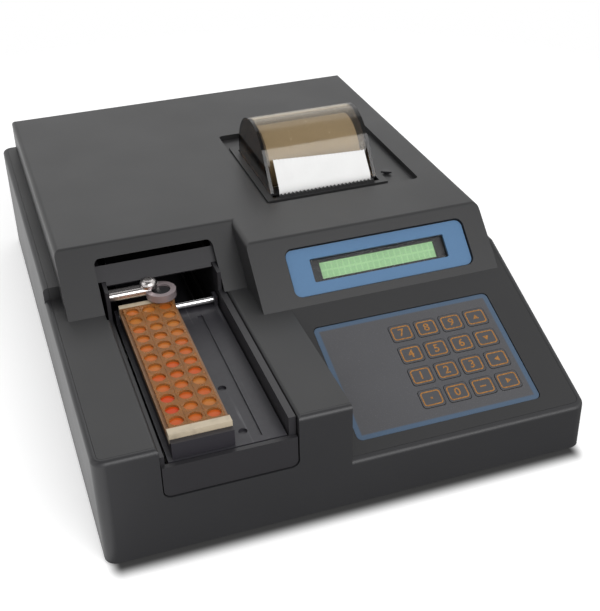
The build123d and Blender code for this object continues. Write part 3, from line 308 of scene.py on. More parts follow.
class NodeTree:
    """What a material and the world share: a node tree that typed expressions fill."""

    coordinates: str = "Object"

    def __init__(self, tree: bpy.types.NodeTree) -> None:
        """Start from an empty tree.

        Args:
            tree: The node tree of a material or a world.
        """
        self.tree = tree
        self.tree.nodes.clear()
        self._place: Signal | None = None

    def node(self, kind: str, settings: dict[str, Any], inputs: dict[Any, Any],
             output: Union[int, str] = 0) -> Signal:
        """Add any node.

        Args:
            kind: Blender's type name of the node.
            settings: Attributes, set first.
            inputs: Values or signals for the node's sockets, by number or name.
            output: Which output to hand back.

        Returns:
            The chosen output.
        """
        made = self.tree.nodes.new(kind)
        for key, value in settings.items():
            setattr(made, key, value)
        for key, value in inputs.items():
            self.feed(made.inputs[key], value)
        return Signal(self, made.outputs[output])

    def feed(self, socket: bpy.types.NodeSocket, value: Any) -> None:
        """Link a signal to a socket, or set the socket's own value.

        Args:
            socket: The input to fill.
            value: A signal, a number, a vector or a colour of three parts.
        """
        if isinstance(value, Signal):
            self.tree.links.new(value.socket, socket)
        elif isinstance(value, tuple) and socket.type == "RGBA" and len(value) == 3:
            socket.default_value = (*value, 1.0)
        else:
            socket.default_value = value

    def vector(self, operation: str, first: Any, second: Any, output: str = "Vector") -> Signal:
        """Add a Vector Math node of two inputs."""
        settings = {"operation": operation}
        return self.node("ShaderNodeVectorMath", settings, {0: first, 1: second}, output)

    @property
    def place(self) -> Signal:
        """Where the shader works.

        Returns:
            The shaded point in metres, or the direction looked at in a world.
        """
        if self._place is None:
            self._place = self.node("ShaderNodeTexCoord", {}, {}, self.coordinates)
        return self._place

    def noise(self, pattern: Pattern) -> Signal:
        """Add a noise.

        Args:
            pattern: How fine, rough and drawn out it is.

        Returns:
            About 0.3 to 0.7, or 0 to 1 where the pattern has limits.
        """
        place = self.place
        if pattern.stretch != EVEN:
            place = self.vector("MULTIPLY", place, pattern.stretch)
        inputs = {"Vector": place, "Scale": pattern.scale, "Detail": pattern.detail,
                  "Roughness": pattern.roughness}
        found = self.node("ShaderNodeTexNoise", {}, inputs, "Fac")
        return found if pattern.limits is None else found.ramp(*pattern.limits)

    def mix(self, share: Value, low: Any, high: Any) -> Signal:
        """Colour from low to high by share."""
        return self.node("ShaderNodeMix", {"data_type": "RGBA"}, {0: share, 6: low, 7: high}, 2)

    def ray(self, kind: Ray) -> Signal:
        """One for light paths of this kind."""
        return self.node("ShaderNodeLightPath", {}, {}, kind.value)


class Shader(NodeTree):
    """One material's node tree around a Principled shader."""

    def __init__(self, name: str) -> None:
        """Make an empty material with its output and its Principled shader.

        Args:
            name: Name of the material.
        """
        self.material = bpy.data.materials.new(name)
        self.material.use_nodes = True
        super().__init__(self.material.node_tree)
        output = self.tree.nodes.new("ShaderNodeOutputMaterial")
        self.surface = self.tree.nodes.new("ShaderNodeBsdfPrincipled")
        self.tree.links.new(self.surface.outputs[0], output.inputs[0])

    def set(self, **inputs: Any) -> "Shader":
        """Feed the Principled shader.

        Args:
            **inputs: Values by socket name, with underscores for spaces.

        Returns:
            The shader itself.
        """
        for name, value in inputs.items():
            words = (word if word == "IOR" else word.capitalize() for word in name.split("_"))
            self.feed(self.surface.inputs[" ".join(words)], value)
        return self

    def bump(self, height: Value, depth: float) -> "Shader":
        """Raise the surface.

        Args:
            height: The relief, about 0 to 1.
            depth: What one of the relief measures, in millimetres.

        Returns:
            The shader itself.
        """
        inputs = {"Height": height, "Distance": depth * MM, "Strength": 1.0}
        return self.set(normal=self.node("ShaderNodeBump", {}, inputs, "Normal"))


class Finish:
    """What every finish offers: its material, made once."""

    name: str
    made: dict["Finish", bpy.types.Material] = {}

    def build(self, shader: Shader) -> None:
        """Fill a shader with this finish."""
        raise NotImplementedError

    def material(self) -> bpy.types.Material:
        """Give the finish's material, made on its first use.

        Returns:
            The material.
        """
        if self not in Finish.made:
            shader = Shader(self.name)
            self.build(shader)
            Finish.made[self] = shader.material
        return Finish.made[self]


DUST = Pattern(2200.0, 0.0, limits=(0.66, 0.8))
FINE_DUST = Pattern(2400.0, 0.0, limits=(0.66, 0.8))


@dataclass(frozen=True)
class Moulding(Finish):
    """Moulded plastic with a fine spark-eroded grain, its colour a little uneven."""

    name: str
    colour: Colour
    roughness: float = 0.5
    grain: float = 0.02
    grain_size: float = 0.45
    grain_detail: float = 3.0
    grain_roughness: float = 0.6
    mottle: float = 0.10
    gloss: float = 0.5
    cloud: Pattern = Pattern(18.0, 3.0, 0.55)
    speck: Pattern = Pattern(900.0, 1.0)
    cloud_share: float = 1.6
    speck_share: float = 0.8
    darkest: float = 0.6
    palest: float = 1.4
    cloud_swing: float = 0.16
    grain_swing: float = 0.1

    def build(self, shader: Shader) -> None:
        """Grain, a slow mottle of the colour and a faint sheen of handling.

        Args:
            shader: The material to fill.
        """
        fineness = 1 / (self.grain_size * MM)
        grain = shader.noise(Pattern(fineness, self.grain_detail, self.grain_roughness))
        cloud = shader.noise(self.cloud)
        speck = shader.noise(self.speck)
        share = (cloud.swing(self.cloud_share) + speck.swing(self.speck_share)) * self.mottle
        dark = scaled(self.colour, self.darkest)
        pale = scaled(self.colour, self.palest)
        shader.set(base_color=shader.mix(share + NOISE_MIDDLE, dark, pale))
        dull = cloud.swing(self.cloud_swing)
        shader.set(roughness=self.roughness + dull + grain.swing(self.grain_swing))
        shader.set(specular_IOR_level=self.gloss)
        shader.bump(grain, self.grain)


@dataclass(frozen=True)
class Metal(Finish):
    """Bare metal, from mirror bright to brushed along one axis."""

    name: str
    colour: Colour
    roughness: float = 0.2
    brush: Point = EVEN
    line_fineness: float = 700.0
    line_detail: float = 4.0
    line_roughness: float = 0.7
    patch: Pattern = Pattern(45.0)
    patch_limits: Pair = (0.35, 0.7)
    patch_share: float = 0.35
    line_share: float = 0.25
    dullest: float = 0.72
    line_swing: float = 0.15
    dulling: float = 0.08
    relief: float = 0.006

    def build(self, shader: Shader) -> None:
        """Brush lines along the least stretched axis and dull patches.

        Args:
            shader: The material to fill.
        """
        lines = shader.noise(Pattern(self.line_fineness, self.line_detail, self.line_roughness,
                                     self.brush))
        patch = shader.noise(self.patch)
        share = patch.ramp(*self.patch_limits) * self.patch_share + lines * self.line_share
        shader.set(base_color=shader.mix(share, self.colour, scaled(self.colour, self.dullest)))
        shader.set(metallic=1.0)
        shader.set(roughness=self.roughness + lines.swing(self.line_swing) + patch * self.dulling)
        shader.bump(lines, self.relief)


@dataclass(frozen=True)
class Paint(Finish):
    """Satin paint on sheet metal, worn paler along the lines that things slide on."""

    name: str
    colour: Colour
    roughness: float = 0.42
    worn: Colour = (0.35, 0.35, 0.37)
    peel: Pattern = Pattern(420.0)
    scratch: Pattern = Pattern(380.0, 3.0, 0.6, (1.0, 0.03, 1.0), (0.62, 0.74))
    patch: Pattern = Pattern(30.0, limits=(0.42, 0.72))
    wear: float = 0.35
    peel_swing: float = 0.15
    polish: float = 0.08
    relief: float = 0.015

    def build(self, shader: Shader) -> None:
        """Orange-peel skin with long faint scratches along y.

        Args:
            shader: The material to fill.
        """
        peel = shader.noise(self.peel)
        scratch = shader.noise(self.scratch)
        patch = shader.noise(self.patch)
        shader.set(base_color=shader.mix(scratch * patch * self.wear, self.colour, self.worn))
        shader.set(roughness=self.roughness + peel.swing(self.peel_swing) - scratch * self.polish)
        shader.bump(peel, self.relief)


@dataclass(frozen=True)
class Clear(Finish):
    """Clear or tinted plastic and glass."""

    name: str
    colour: Colour
    roughness: float = 0.06
    ior: float = 1.49
    alpha: float = 1.0
    flow: Pattern = Pattern(70.0)
    dust_share: float = 0.25
    flow_swing: float = 0.05
    relief: float = 0.02

    def build(self, shader: Shader) -> None:
        """Clear body with faint flow marks and dust on its skin.

        Args:
            shader: The material to fill.
        """
        flow = shader.noise(self.flow)
        dust = shader.noise(DUST)
        shader.set(base_color=self.colour, transmission_weight=1.0, IOR=self.ior, alpha=self.alpha)
        shader.set(roughness=self.roughness + dust * self.dust_share + flow.swing(self.flow_swing))
        shader.bump(flow, self.relief)


@dataclass(frozen=True)
class SmokedShell(Finish):
    """Smoked cover: clear brown half round between darker moulded ends."""

    name: str
    colour: Colour
    end_colour: Colour
    middle: float
    inner_half: float
    edge: float = 0.3
    ior: float = 1.45
    roughness: float = 0.07
    scuff: Pattern = Pattern(500.0, 2.0, 0.6, (1.0, 0.1, 0.1), (0.62, 0.75))
    flow: Pattern = Pattern(60.0)
    dust_share: float = 0.2
    scuff_share: float = 0.12
    relief: float = 0.03

    def build(self, shader: Shader) -> None:
        """Tint by the distance from the middle of the roll, with fine scuffs along the curve.

        Args:
            shader: The material to fill.
        """
        across = abs(shader.place.along(RIGHTWARD, frame_point(self.middle, 0.0, 0.0)))
        end = across.ramp(self.inner_half * MM, (self.inner_half + self.edge) * MM)
        scuff = shader.noise(self.scuff)
        dust = shader.noise(DUST)
        shader.set(base_color=shader.mix(end, self.colour, self.end_colour))
        shader.set(transmission_weight=1.0, IOR=self.ior)
        shader.set(roughness=self.roughness + dust * self.dust_share + scuff * self.scuff_share)
        shader.bump(shader.noise(self.flow), self.relief)


@dataclass(frozen=True)
class WellPlastic(Finish):
    """Thin moulded polystyrene of the strips, cloudy and full of the colour it holds."""

    name: str
    colour: Colour
    flow: Pattern = Pattern(260.0)
    cloud: Pattern = Pattern(90.0)
    deepest: float = 0.55
    cloud_share: float = 0.9
    flow_share: float = 0.6
    clearness: float = 0.5
    ior: float = 1.3
    gloss: float = 0.2
    roughness: float = 0.26
    flow_swing: float = 0.15
    relief: float = 0.05

    def build(self, shader: Shader) -> None:
        """Cloudy body that lets part of the light through.

        Args:
            shader: The material to fill.
        """
        flow = shader.noise(self.flow)
        cloud = shader.noise(self.cloud)
        share = cloud.swing(self.cloud_share) + flow.swing(self.flow_share) + NOISE_MIDDLE
        shader.set(base_color=shader.mix(share, scaled(self.colour, self.deepest), self.colour))
        shader.set(transmission_weight=self.clearness, IOR=self.ior, specular_IOR_level=self.gloss)
        shader.set(roughness=self.roughness + flow.swing(self.flow_swing))
        shader.bump(flow, self.relief)


@dataclass(frozen=True)
class FramePlastic(Finish):
    """Strip frame: pale bars at its two ends, side rails stained like the strips they hold."""

    name: str
    bar: Colour
    rail: Colour
    middle: float
    half: float
    edge: float = 0.4
    marks: Pattern = Pattern(160.0, 3.0)
    mark_limits: Pair = (0.45, 0.8)
    soiled: float = 0.75
    roughness: float = 0.42
    mark_swing: float = 0.2
    relief: float = 0.02

    def build(self, shader: Shader) -> None:
        """Bars by the distance from the middle of the frame, with handling marks.

        Args:
            shader: The material to fill.
        """
        along = abs(shader.place.along(REARWARD, frame_point(0.0, self.middle, 0.0)))
        end = along.ramp(self.half * MM, (self.half + self.edge) * MM)
        marks = shader.noise(self.marks)
        base = shader.mix(end, self.rail, self.bar)
        dirty = shader.mix(self.soiled, NO_LIGHT, base)
        shader.set(base_color=shader.mix(marks.ramp(*self.mark_limits), base, dirty))
        shader.set(roughness=self.roughness + marks.swing(self.mark_swing))
        shader.bump(marks, self.relief)


@dataclass(frozen=True)
class ArmMetal(Finish):
    """Polished arm that ends in a satin ring."""

    name: str
    bright: Colour
    satin: Colour
    ring: Pair
    ring_radius: float
    ring_top: float
    lines: Pattern = Pattern(900.0, 3.0, 0.6, (0.08, 1.0, 1.0))
    coating: float = 0.45
    roughness: float = 0.26
    ring_dulling: float = 0.16
    line_swing: float = 0.06
    relief: float = 0.002

    def build(self, shader: Shader) -> None:
        """Satin inside the ring's outline, polished elsewhere.

        Args:
            shader: The material to fill.
        """
        centre = frame_point(*self.ring, 0.0)
        across = shader.place.along(RIGHTWARD, centre)
        back = shader.place.along(REARWARD, centre)
        radius = (across * across + back * back).root()
        low = shader.place.along(UPWARD) < self.ring_top * MM
        ring = (radius < self.ring_radius * MM) * low
        lines = shader.noise(self.lines)
        shader.set(base_color=shader.mix(ring, self.bright, self.satin))
        shader.set(metallic=1.0 - ring * self.coating)
        dull = ring * self.ring_dulling
        shader.set(roughness=self.roughness + dull + lines.swing(self.line_swing))
        shader.bump(lines, self.relief)


@dataclass(frozen=True)
class Sheet(Finish):
    """Paper: fine fibre, nearly white."""

    name: str
    colour: Colour
    fibre: Pattern = Pattern(2400.0, 4.0, 0.7)
    cloud: Pattern = Pattern(120.0, 3.0)
    shade: float = 0.86
    fibre_share: float = 0.8
    cloud_share: float = 0.5
    shaded: float = 0.25
    roughness: float = 0.75
    fibre_swing: float = 0.2
    relief: float = 0.012

    def build(self, shader: Shader) -> None:
        """Fibres and a soft cloudiness.

        Args:
            shader: The material to fill.
        """
        fibre = shader.noise(self.fibre)
        cloud = shader.noise(self.cloud)
        share = fibre.swing(self.fibre_share) + cloud.swing(self.cloud_share) + self.shaded
        shader.set(base_color=shader.mix(share, self.colour, scaled(self.colour, self.shade)))
        shader.set(roughness=self.roughness + fibre.swing(self.fibre_swing))
        shader.bump(fibre, self.relief)


@dataclass(frozen=True)
class WoundPaper(Finish):
    """Rolled paper: smooth outside and fine rings on its ends."""

    name: str
    colour: Colour
    axis: Pair
    layer: float = 0.55
    fibre: Pattern = Pattern(1800.0, 3.0, 0.6)
    shade: float = 0.72
    ring_share: float = 0.18
    fibre_share: float = 0.5
    shaded: float = 0.3
    roughness: float = 0.78
    fibre_swing: float = 0.2
    ring_relief: float = 0.5
    relief: float = 0.02

    def build(self, shader: Shader) -> None:
        """Rings by the distance from the roll's axis.

        Args:
            shader: The material to fill.
        """
        origin = frame_point(0.0, *self.axis)
        back = shader.place.along(REARWARD, origin)
        up = shader.place.along(UPWARD, origin)
        radius = (back * back + up * up).root()
        rings = (radius * (2 * math.pi / (self.layer * MM))).sine()
        fibre = shader.noise(self.fibre)
        share = rings * self.ring_share + fibre.swing(self.fibre_share) + self.shaded
        shader.set(base_color=shader.mix(share, self.colour, scaled(self.colour, self.shade)))
        shader.set(roughness=self.roughness + fibre.swing(self.fibre_swing))
        shader.bump(rings * self.ring_relief + fibre, self.relief)


@dataclass(frozen=True)
class Liquid(Finish):
    """Coloured reagent whose strength differs from well to well."""

    name: str
    weak: Colour
    strong: Colour
    grid: Pair
    pitch: float
    reach: float
    swirl: Pattern = Pattern(420.0)
    pick_share: float = 0.35
    front_share: float = 0.75
    swirl_share: float = 0.3
    roughness: float = 0.3
    swirl_swing: float = 0.15
    gloss: float = 0.2
    relief: float = 0.05

    def build(self, shader: Shader) -> None:
        """One colour for each well, from the well's own place in the grid.

        Args:
            shader: The material to fill.
        """
        near = shader.vector("ADD", shader.place, tuple(-frame_point(*self.grid, 0.0)))
        cell = shader.vector("SNAP", near, (self.pitch * MM, self.pitch * MM, 1.0))
        settings = {"noise_dimensions": "3D"}
        pick = shader.node("ShaderNodeTexWhiteNoise", settings, {"Vector": cell}, "Value")
        swirl = shader.noise(self.swirl)
        along = shader.place.along(REARWARD, frame_point(0.0, self.grid[1], 0.0))
        front = 1 - along.ramp(0.0, self.reach * MM)
        strength = (pick * self.pick_share + pick * front * self.front_share
                    + swirl.swing(self.swirl_share))
        shader.set(base_color=shader.mix(strength, self.weak, self.strong))
        shader.set(roughness=self.roughness + swirl.swing(self.swirl_swing))
        shader.set(specular_IOR_level=self.gloss)
        shader.bump(swirl, self.relief)


@dataclass(frozen=True)
class Film(Finish):
    """Printed keypad sheet: dark field inside a blue border line."""

    name: str
    field_colour: Colour
    line_colour: Colour
    slope: Slope
    middle_up: float
    half_width: float
    half_length: float
    line: float
    corner: float
    soft: float = 0.5
    pebble: Pattern = Pattern(1500.0)
    cloud: Pattern = Pattern(40.0)
    dust_colour: Colour = (0.2, 0.2, 0.21)
    dust_share: float = 0.25
    cloud_share: float = 0.1
    dusty: float = 0.03
    roughness: float = 0.38
    pebble_swing: float = 0.2
    dust_dulling: float = 0.15
    relief: float = 0.012

    def border(self, shader: Shader) -> Signal:
        """Find the border from the distance to the edge of a rounded rectangle.

        Args:
            shader: The material to fill.

        Returns:
            One on the border line and zero in the field.
        """
        middle = self.slope.at(0.0, self.middle_up)
        across = abs(shader.place.along(self.slope.across, middle))
        up = abs(shader.place.along(self.slope.up, middle))
        dx = across - (self.half_width - self.corner) * MM
        dy = up - (self.half_length - self.corner) * MM
        outside = (dx.most(0.0) * dx.most(0.0) + dy.most(0.0) * dy.most(0.0)).root()
        edge = self.corner * MM - outside - dx.most(dy).least(0.0)
        return 1 - edge.ramp((self.line - self.soft) * MM, (self.line + self.soft) * MM)

    def build(self, shader: Shader) -> None:
        """Field and border under a pebbled, slightly dusty skin.

        Args:
            shader: The material to fill.
        """
        base = shader.mix(self.border(shader), self.field_colour, self.line_colour)
        pebble = shader.noise(self.pebble)
        cloud = shader.noise(self.cloud)
        dust = shader.noise(FINE_DUST)
        share = dust * self.dust_share + cloud.swing(self.cloud_share) + self.dusty
        shader.set(base_color=shader.mix(share, base, self.dust_colour))
        dull = pebble.swing(self.pebble_swing)
        shader.set(roughness=self.roughness + dull + dust * self.dust_dulling)
        shader.bump(pebble, self.relief)


@dataclass(frozen=True)
class LitPanel(Finish):
    """Green display panel with its grid of character cells."""

    name: str
    colour: Colour
    cell_colour: Colour
    slope: Slope
    middle_up: float
    width: float
    height: float
    columns: int
    rows: int
    cell_edge: Pair = (0.36, 0.42)
    glow: Pattern = Pattern(60.0)
    cell_share: float = 0.5
    glow_share: float = 0.5
    shaded: float = 0.1
    roughness: float = 0.3
    glow_swing: float = 0.1
    shine: float = 0.08

    def build(self, shader: Shader) -> None:
        """Faint cells on a lit, slightly uneven ground.

        Args:
            shader: The material to fill.
        """
        corner = self.slope.at(-self.width / 2, self.middle_up - self.height / 2)
        across = shader.place.along(self.slope.across, corner) / (self.width * MM)
        up = shader.place.along(self.slope.up, corner) / (self.height * MM)
        column = abs((across * self.columns).fraction() - HALF_CELL)
        row = abs((up * self.rows).fraction() - HALF_CELL)
        cell = (1 - column.ramp(*self.cell_edge)) * (1 - row.ramp(*self.cell_edge))
        glow = shader.noise(self.glow)
        share = cell * self.cell_share + glow.swing(self.glow_share) + self.shaded
        lit = shader.mix(share, self.colour, self.cell_colour)
        shader.set(base_color=lit, roughness=self.roughness + glow.swing(self.glow_swing))
        shader.set(emission_color=lit, emission_strength=self.shine)


@dataclass(frozen=True)
class Laminate(Finish):
    """Circuit board: solder mask over tracks."""

    name: str
    colour: Colour
    track: Colour
    blocks: float = 90.0
    gap: float = 0.08
    mask: Pattern = Pattern(220.0)
    track_share: float = 0.5
    mask_share: float = 0.2
    roughness: float = 0.4
    mask_swing: float = 0.15
    relief: float = 0.03

    def build(self, shader: Shader) -> None:
        """Tracks as bands of a blocky pattern.

        Args:
            shader: The material to fill.
        """
        bands = shader.node("ShaderNodeTexBrick", {}, {"Vector": shader.place, "Scale": self.blocks,
                                                      "Mortar Size": self.gap}, "Fac")
        mask = shader.noise(self.mask)
        share = bands * self.track_share + mask.swing(self.mask_share)
        shader.set(base_color=shader.mix(share, self.colour, self.track))
        shader.set(roughness=self.roughness + mask.swing(self.mask_swing))
        shader.bump(bands, self.relief)


@dataclass(frozen=True)
class Ink(Finish):
    """Printed legend, slightly uneven."""

    name: str
    colour: Colour
    wear: Pattern = Pattern(1400.0)
    wear_limits: Pair = (0.35, 0.65)
    faded: float = 0.6
    roughness: float = 0.5
    wear_swing: float = 0.2
    relief: float = 0.01

    def build(self, shader: Shader) -> None:
        """Mottled ink.

        Args:
            shader: The material to fill.
        """
        wear = shader.noise(self.wear)
        faded = scaled(self.colour, self.faded)
        shader.set(base_color=shader.mix(wear.ramp(*self.wear_limits), self.colour, faded))
        shader.set(roughness=self.roughness + wear.swing(self.wear_swing))
        shader.bump(wear, self.relief)


CASE = Moulding("case_plastic", linear(43, 43, 45), roughness=0.44)
COVER = Moulding("cover_plastic", linear(43, 43, 44), roughness=0.44)
CHANNEL = Moulding("channel_plastic", linear(41, 40, 43), roughness=0.42, grain=0.012)
BLACK = Moulding("black_plastic", linear(30, 29, 32), roughness=0.4, grain=0.012)
BAFFLE = Moulding("baffle_plastic", linear(38, 37, 40), roughness=0.45, grain=0.012)
TRAY = Moulding("tray_plastic", linear(40, 38, 44), roughness=0.42, grain=0.012)
ACETAL = Moulding("acetal", linear(222, 220, 212), roughness=0.38, grain=0.006)
BEZEL = Moulding("bezel_blue", linear(86, 121, 157), roughness=0.42, grain=0.008, gloss=0.3)
KEY = Moulding("key_film", linear(76, 76, 79), roughness=0.4, grain=0.008, mottle=0.06, gloss=0.4)
RUBBER = Moulding("rubber", linear(34, 34, 34), roughness=0.75, grain=0.03, gloss=0.2)
PLATE = Paint("plate_paint", linear(50, 49, 54))
PANEL = Paint("panel_paint", linear(120, 120, 120))
MOTOR = Paint("motor_paint", linear(40, 40, 42))
CORE = Paint("core_varnish", linear(96, 84, 74))
CHROME = Metal("polished_steel", (0.74, 0.73, 0.74), roughness=0.14)
STEEL = Metal("brushed_steel", (0.6, 0.6, 0.6), roughness=0.3, brush=(1.0, 0.05, 1.0))
BRASS = Metal("brass", (0.72, 0.55, 0.26), roughness=0.28)
WELLS = WellPlastic("well_plastic", linear(206, 140, 76))
PANE = Clear("clear_pane", (0.9, 0.92, 0.9), roughness=0.04, ior=1.35, alpha=0.3)
LENS = Clear("lens_glass", (0.9, 0.93, 0.97), roughness=0.02, ior=1.52)
FILTER = Clear("filter_glass", (0.35, 0.5, 0.85), roughness=0.03, ior=1.52)
BULB = Clear("lamp_glass", (0.97, 0.95, 0.9), roughness=0.04)
PAPER = Sheet("white_paper", linear(246, 246, 245))
BOARD = Laminate("circuit_board", linear(34, 84, 54), linear(58, 116, 78))
LEGEND = Ink("legend_ink", linear(170, 118, 56))


@dataclass
class Studio:
    """White floor, soft lights and the camera of the photograph."""

    focal_pixels: float = 1092.12
    image_height: float = 611.0
    sensor: float = 36.0
    nearest: float = 0.01
    azimuth: float = -0.321
    elevation: float = 0.562
    roll: float = -0.024
    stand: Point = (-27.66, -377.21, 373.91)
    floor_size: float = 6.0
    floor_fade: Pair = (0.36, 0.6)
    floor_cloud: Pattern = Pattern(3.0)
    floor_cloud_share: float = 0.2
    floor_white: Colour = grey(0.9)
    floor_pale: Colour = grey(0.86)
    floor_glow: Colour = grey(0.42)
    floor_bounce: Colour = grey(0.35)
    floor_roughness: float = 0.9
    # painted contact shadow: the darkest floor colour next to the case, and how far the band
    # reaches in mm
    painted_shadow_colour: Colour = grey(0.03)
    contact: Pair = (0.5, 11.0)
    corner: float = 7.0
    hasten: float = 1.3
    side_glow: Colour = grey(0.85)
    side_edge: Pair = (-3.0, 0.0)
    ambient: float = 0.42
    wall_glow: float = 0.9
    wall_top: Pair = (0.38, 0.8)
    overhead: Pair = (0.1, 0.9)
    overhead_edge: Pair = (0.12, 0.5)
    lamps: Sequence[tuple[str, Point, Point, float, float]] = (
        ("back_light", (0.1, 0.75, 0.9), (0.0, 0.08, 0.0), 0.9, 2.1),
        ("side_light", (-1.1, 0.1, 1.2), (0.0, 0.0, 0.0), 0.9, 3.0),
        ("front_light", (0.3, -1.35, 0.95), (0.0, 0.0, 0.05), 1.2, 17.0),
    )

    def build(self) -> None:
        """Set the view, then add camera, floor, lamps and world."""
        bpy.context.scene.view_settings.view_transform = "Standard"
        self.add_camera()
        self.add_floor()
        for lamp in self.lamps:
            self.add_lamp(*lamp)
        self.add_world()
        LOG.info("studio: camera, floor, %d lamps and world", len(self.lamps))

    def add_camera(self) -> None:
        """Stand the camera where the photograph was taken from."""
        az, el = self.azimuth, self.elevation
        look = Vector((-math.sin(az) * math.cos(el), math.cos(az) * math.cos(el), -math.sin(el)))
        right = look.cross(Vector(UPWARD)).normalized()
        up = right.cross(look)
        turned = right * math.cos(self.roll) + up * math.sin(self.roll)
        raised = up * math.cos(self.roll) - right * math.sin(self.roll)
        data = bpy.data.cameras.new("camera")
        data.sensor_width = self.sensor
        data.sensor_fit = "AUTO"
        data.lens = self.focal_pixels * self.sensor / self.image_height
        data.clip_start = self.nearest
        camera = bpy.data.objects.new("camera", data)
        basis = Matrix((turned, raised, -look)).transposed().to_4x4()
        camera.matrix_world = Matrix.Translation(frame_point(*self.stand)) @ basis
        bpy.context.scene.collection.objects.link(camera)
        bpy.context.scene.camera = camera

    def add_floor(self) -> None:
        """Lay the floor: white and fading out to the camera, grey as the object is lit by it, with
        a painted contact shadow round the case.
        """
        mesh = bpy.data.meshes.new("floor")
        half = self.floor_size / 2
        corners = [(-half, -half, 0), (half, -half, 0), (half, half, 0), (-half, half, 0)]
        mesh.from_pydata(corners, [], [(0, 1, 2, 3)])
        floor = bpy.data.objects.new("floor", mesh)
        shader = Shader("floor")
        seen = shader.ray(Ray.CAMERA)
        shade = self.painted_contact_shadow(shader)
        cloud = shader.noise(self.floor_cloud) * self.floor_cloud_share
        white = shader.mix(cloud, self.floor_white, self.floor_pale)
        # painted contact shadow: the floor's colour darkens towards the case
        seen_colour = shader.mix(shade, self.painted_shadow_colour, white)
        shader.set(base_color=shader.mix(seen, self.floor_bounce, seen_colour))
        side = shader.place.along(RIGHTWARD, (-CASE_WIDTH / 2 * MM, 0.0, 0.0))
        left = 1 - side.ramp(self.side_edge[0] * MM, self.side_edge[1] * MM)
        unseen_glow = shader.mix(left, NO_LIGHT, self.side_glow)
        # painted contact shadow: the floor's white glow also dims towards the case
        seen_glow = shader.mix(shade, self.painted_shadow_colour, self.floor_glow)
        shader.set(emission_color=shader.mix(seen, unseen_glow, seen_glow), emission_strength=1.0)
        x, y = shader.place.along(RIGHTWARD), shader.place.along(REARWARD)
        shader.set(alpha=1 - (x * x + y * y).root().ramp(*self.floor_fade) * seen)
        shader.set(roughness=self.floor_roughness, specular_IOR_level=0.0)
        floor.data.materials.append(shader.material)
        bpy.context.scene.collection.objects.link(floor)

    def painted_contact_shadow(self, shader: Shader) -> Signal:
        """Painted contact shadow: a dim band on the floor round the foot of the case, with rounded
        corners.

        Args:
            shader: The floor's material.

        Returns:
            A share that climbs from 0 at the case to 1 past the painted shadow band.
        """
        half_width = (CASE_WIDTH / 2 - self.corner) * MM
        half_depth = CASE_DEPTH / 2 * MM
        right = shader.place.along(RIGHTWARD, (half_width, 0.0, 0.0)).most(0.0) * self.hasten
        left = shader.place.along((-1.0, 0.0, 0.0), (-half_width, 0.0, 0.0)).most(0.0) * self.hasten
        front = shader.place.along((0.0, -1.0, 0.0), (0.0, -half_depth, 0.0)).most(0.0)
        rear = (0.0, half_depth - self.corner * MM, 0.0)
        back = shader.place.along(REARWARD, rear).most(0.0) * self.hasten
        away = (right * right + left * left + front * front + back * back).root()
        return away.ramp(self.contact[0] * MM, self.contact[1] * MM)

    def add_lamp(self, name: str, stand: Point, aim: Point, size: float, power: float) -> None:
        """Hang one soft lamp.

        Args:
            name: Name of the lamp.
            stand: Its place in metres.
            aim: The point it faces.
            size: Side of its square face in metres.
            power: Watts.
        """
        data = bpy.data.lights.new(name, "AREA")
        data.energy = power
        data.size = size
        lamp = bpy.data.objects.new(name, data)
        lamp.location = stand
        lamp.rotation_euler = (Vector(aim) - Vector(stand)).to_track_quat("-Z", "Y").to_euler()
        bpy.context.scene.collection.objects.link(lamp)

    def add_world(self) -> None:
        """Soft grey light, with white where the camera looks and where gloss reflects the walls."""
        world = bpy.data.worlds.new("surroundings")
        world.use_nodes = True
        sky = NodeTree(world.node_tree)
        sky.coordinates = "Generated"
        low, high = self.overhead
        above = low + sky.place.along(RIGHTWARD).ramp(*self.overhead_edge) * (high - low)
        rise = sky.place.along(UPWARD).ramp(*self.wall_top)
        walls = (rise * above + (1 - rise)) * self.wall_glow
        seen = sky.ray(Ray.CAMERA).most(sky.ray(Ray.THROUGH))
        glossy = sky.ray(Ray.GLOSSY)
        soft = glossy * walls + (1 - glossy) * self.ambient
        strength = seen + (1 - seen) * soft
        inputs = {"Color": (1.0, 1.0, 1.0), "Strength": strength}
        light = sky.node("ShaderNodeBackground", {}, inputs)
        out = sky.tree.nodes.new("ShaderNodeOutputWorld")
        sky.feed(out.inputs["Surface"], light)
        bpy.context.scene.world = world


def new_piece(name: str, mesh: bpy.types.Mesh, finish: Finish, body: str) -> bpy.types.Object:
    """Put a mesh into the scene as a finished piece.

    Args:
        name: Name of the piece.
        mesh: Its mesh, in the frame's metres.
        finish: What it is made of.
        body: The body it moves with.

    Returns:
        The new object.
    """
    piece = bpy.data.objects.new(name, mesh)
    mesh.materials.clear()
    mesh.materials.append(finish.material())
    bpy.context.scene.collection.objects.link(piece)
    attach(piece, body)
    return piece


def mesh_of(drawing: bmesh.types.BMesh, name: str) -> bpy.types.Mesh:
    """Turn a drawing into a mesh whose faces look outwards.

    Args:
        drawing: The drawing, which is used up.
        name: Name of the mesh.

    Returns:
        The mesh.
    """
    bmesh.ops.recalc_face_normals(drawing, faces=drawing.faces)
    mesh = bpy.data.meshes.new(name)
    drawing.to_mesh(mesh)
    drawing.free()
    return mesh


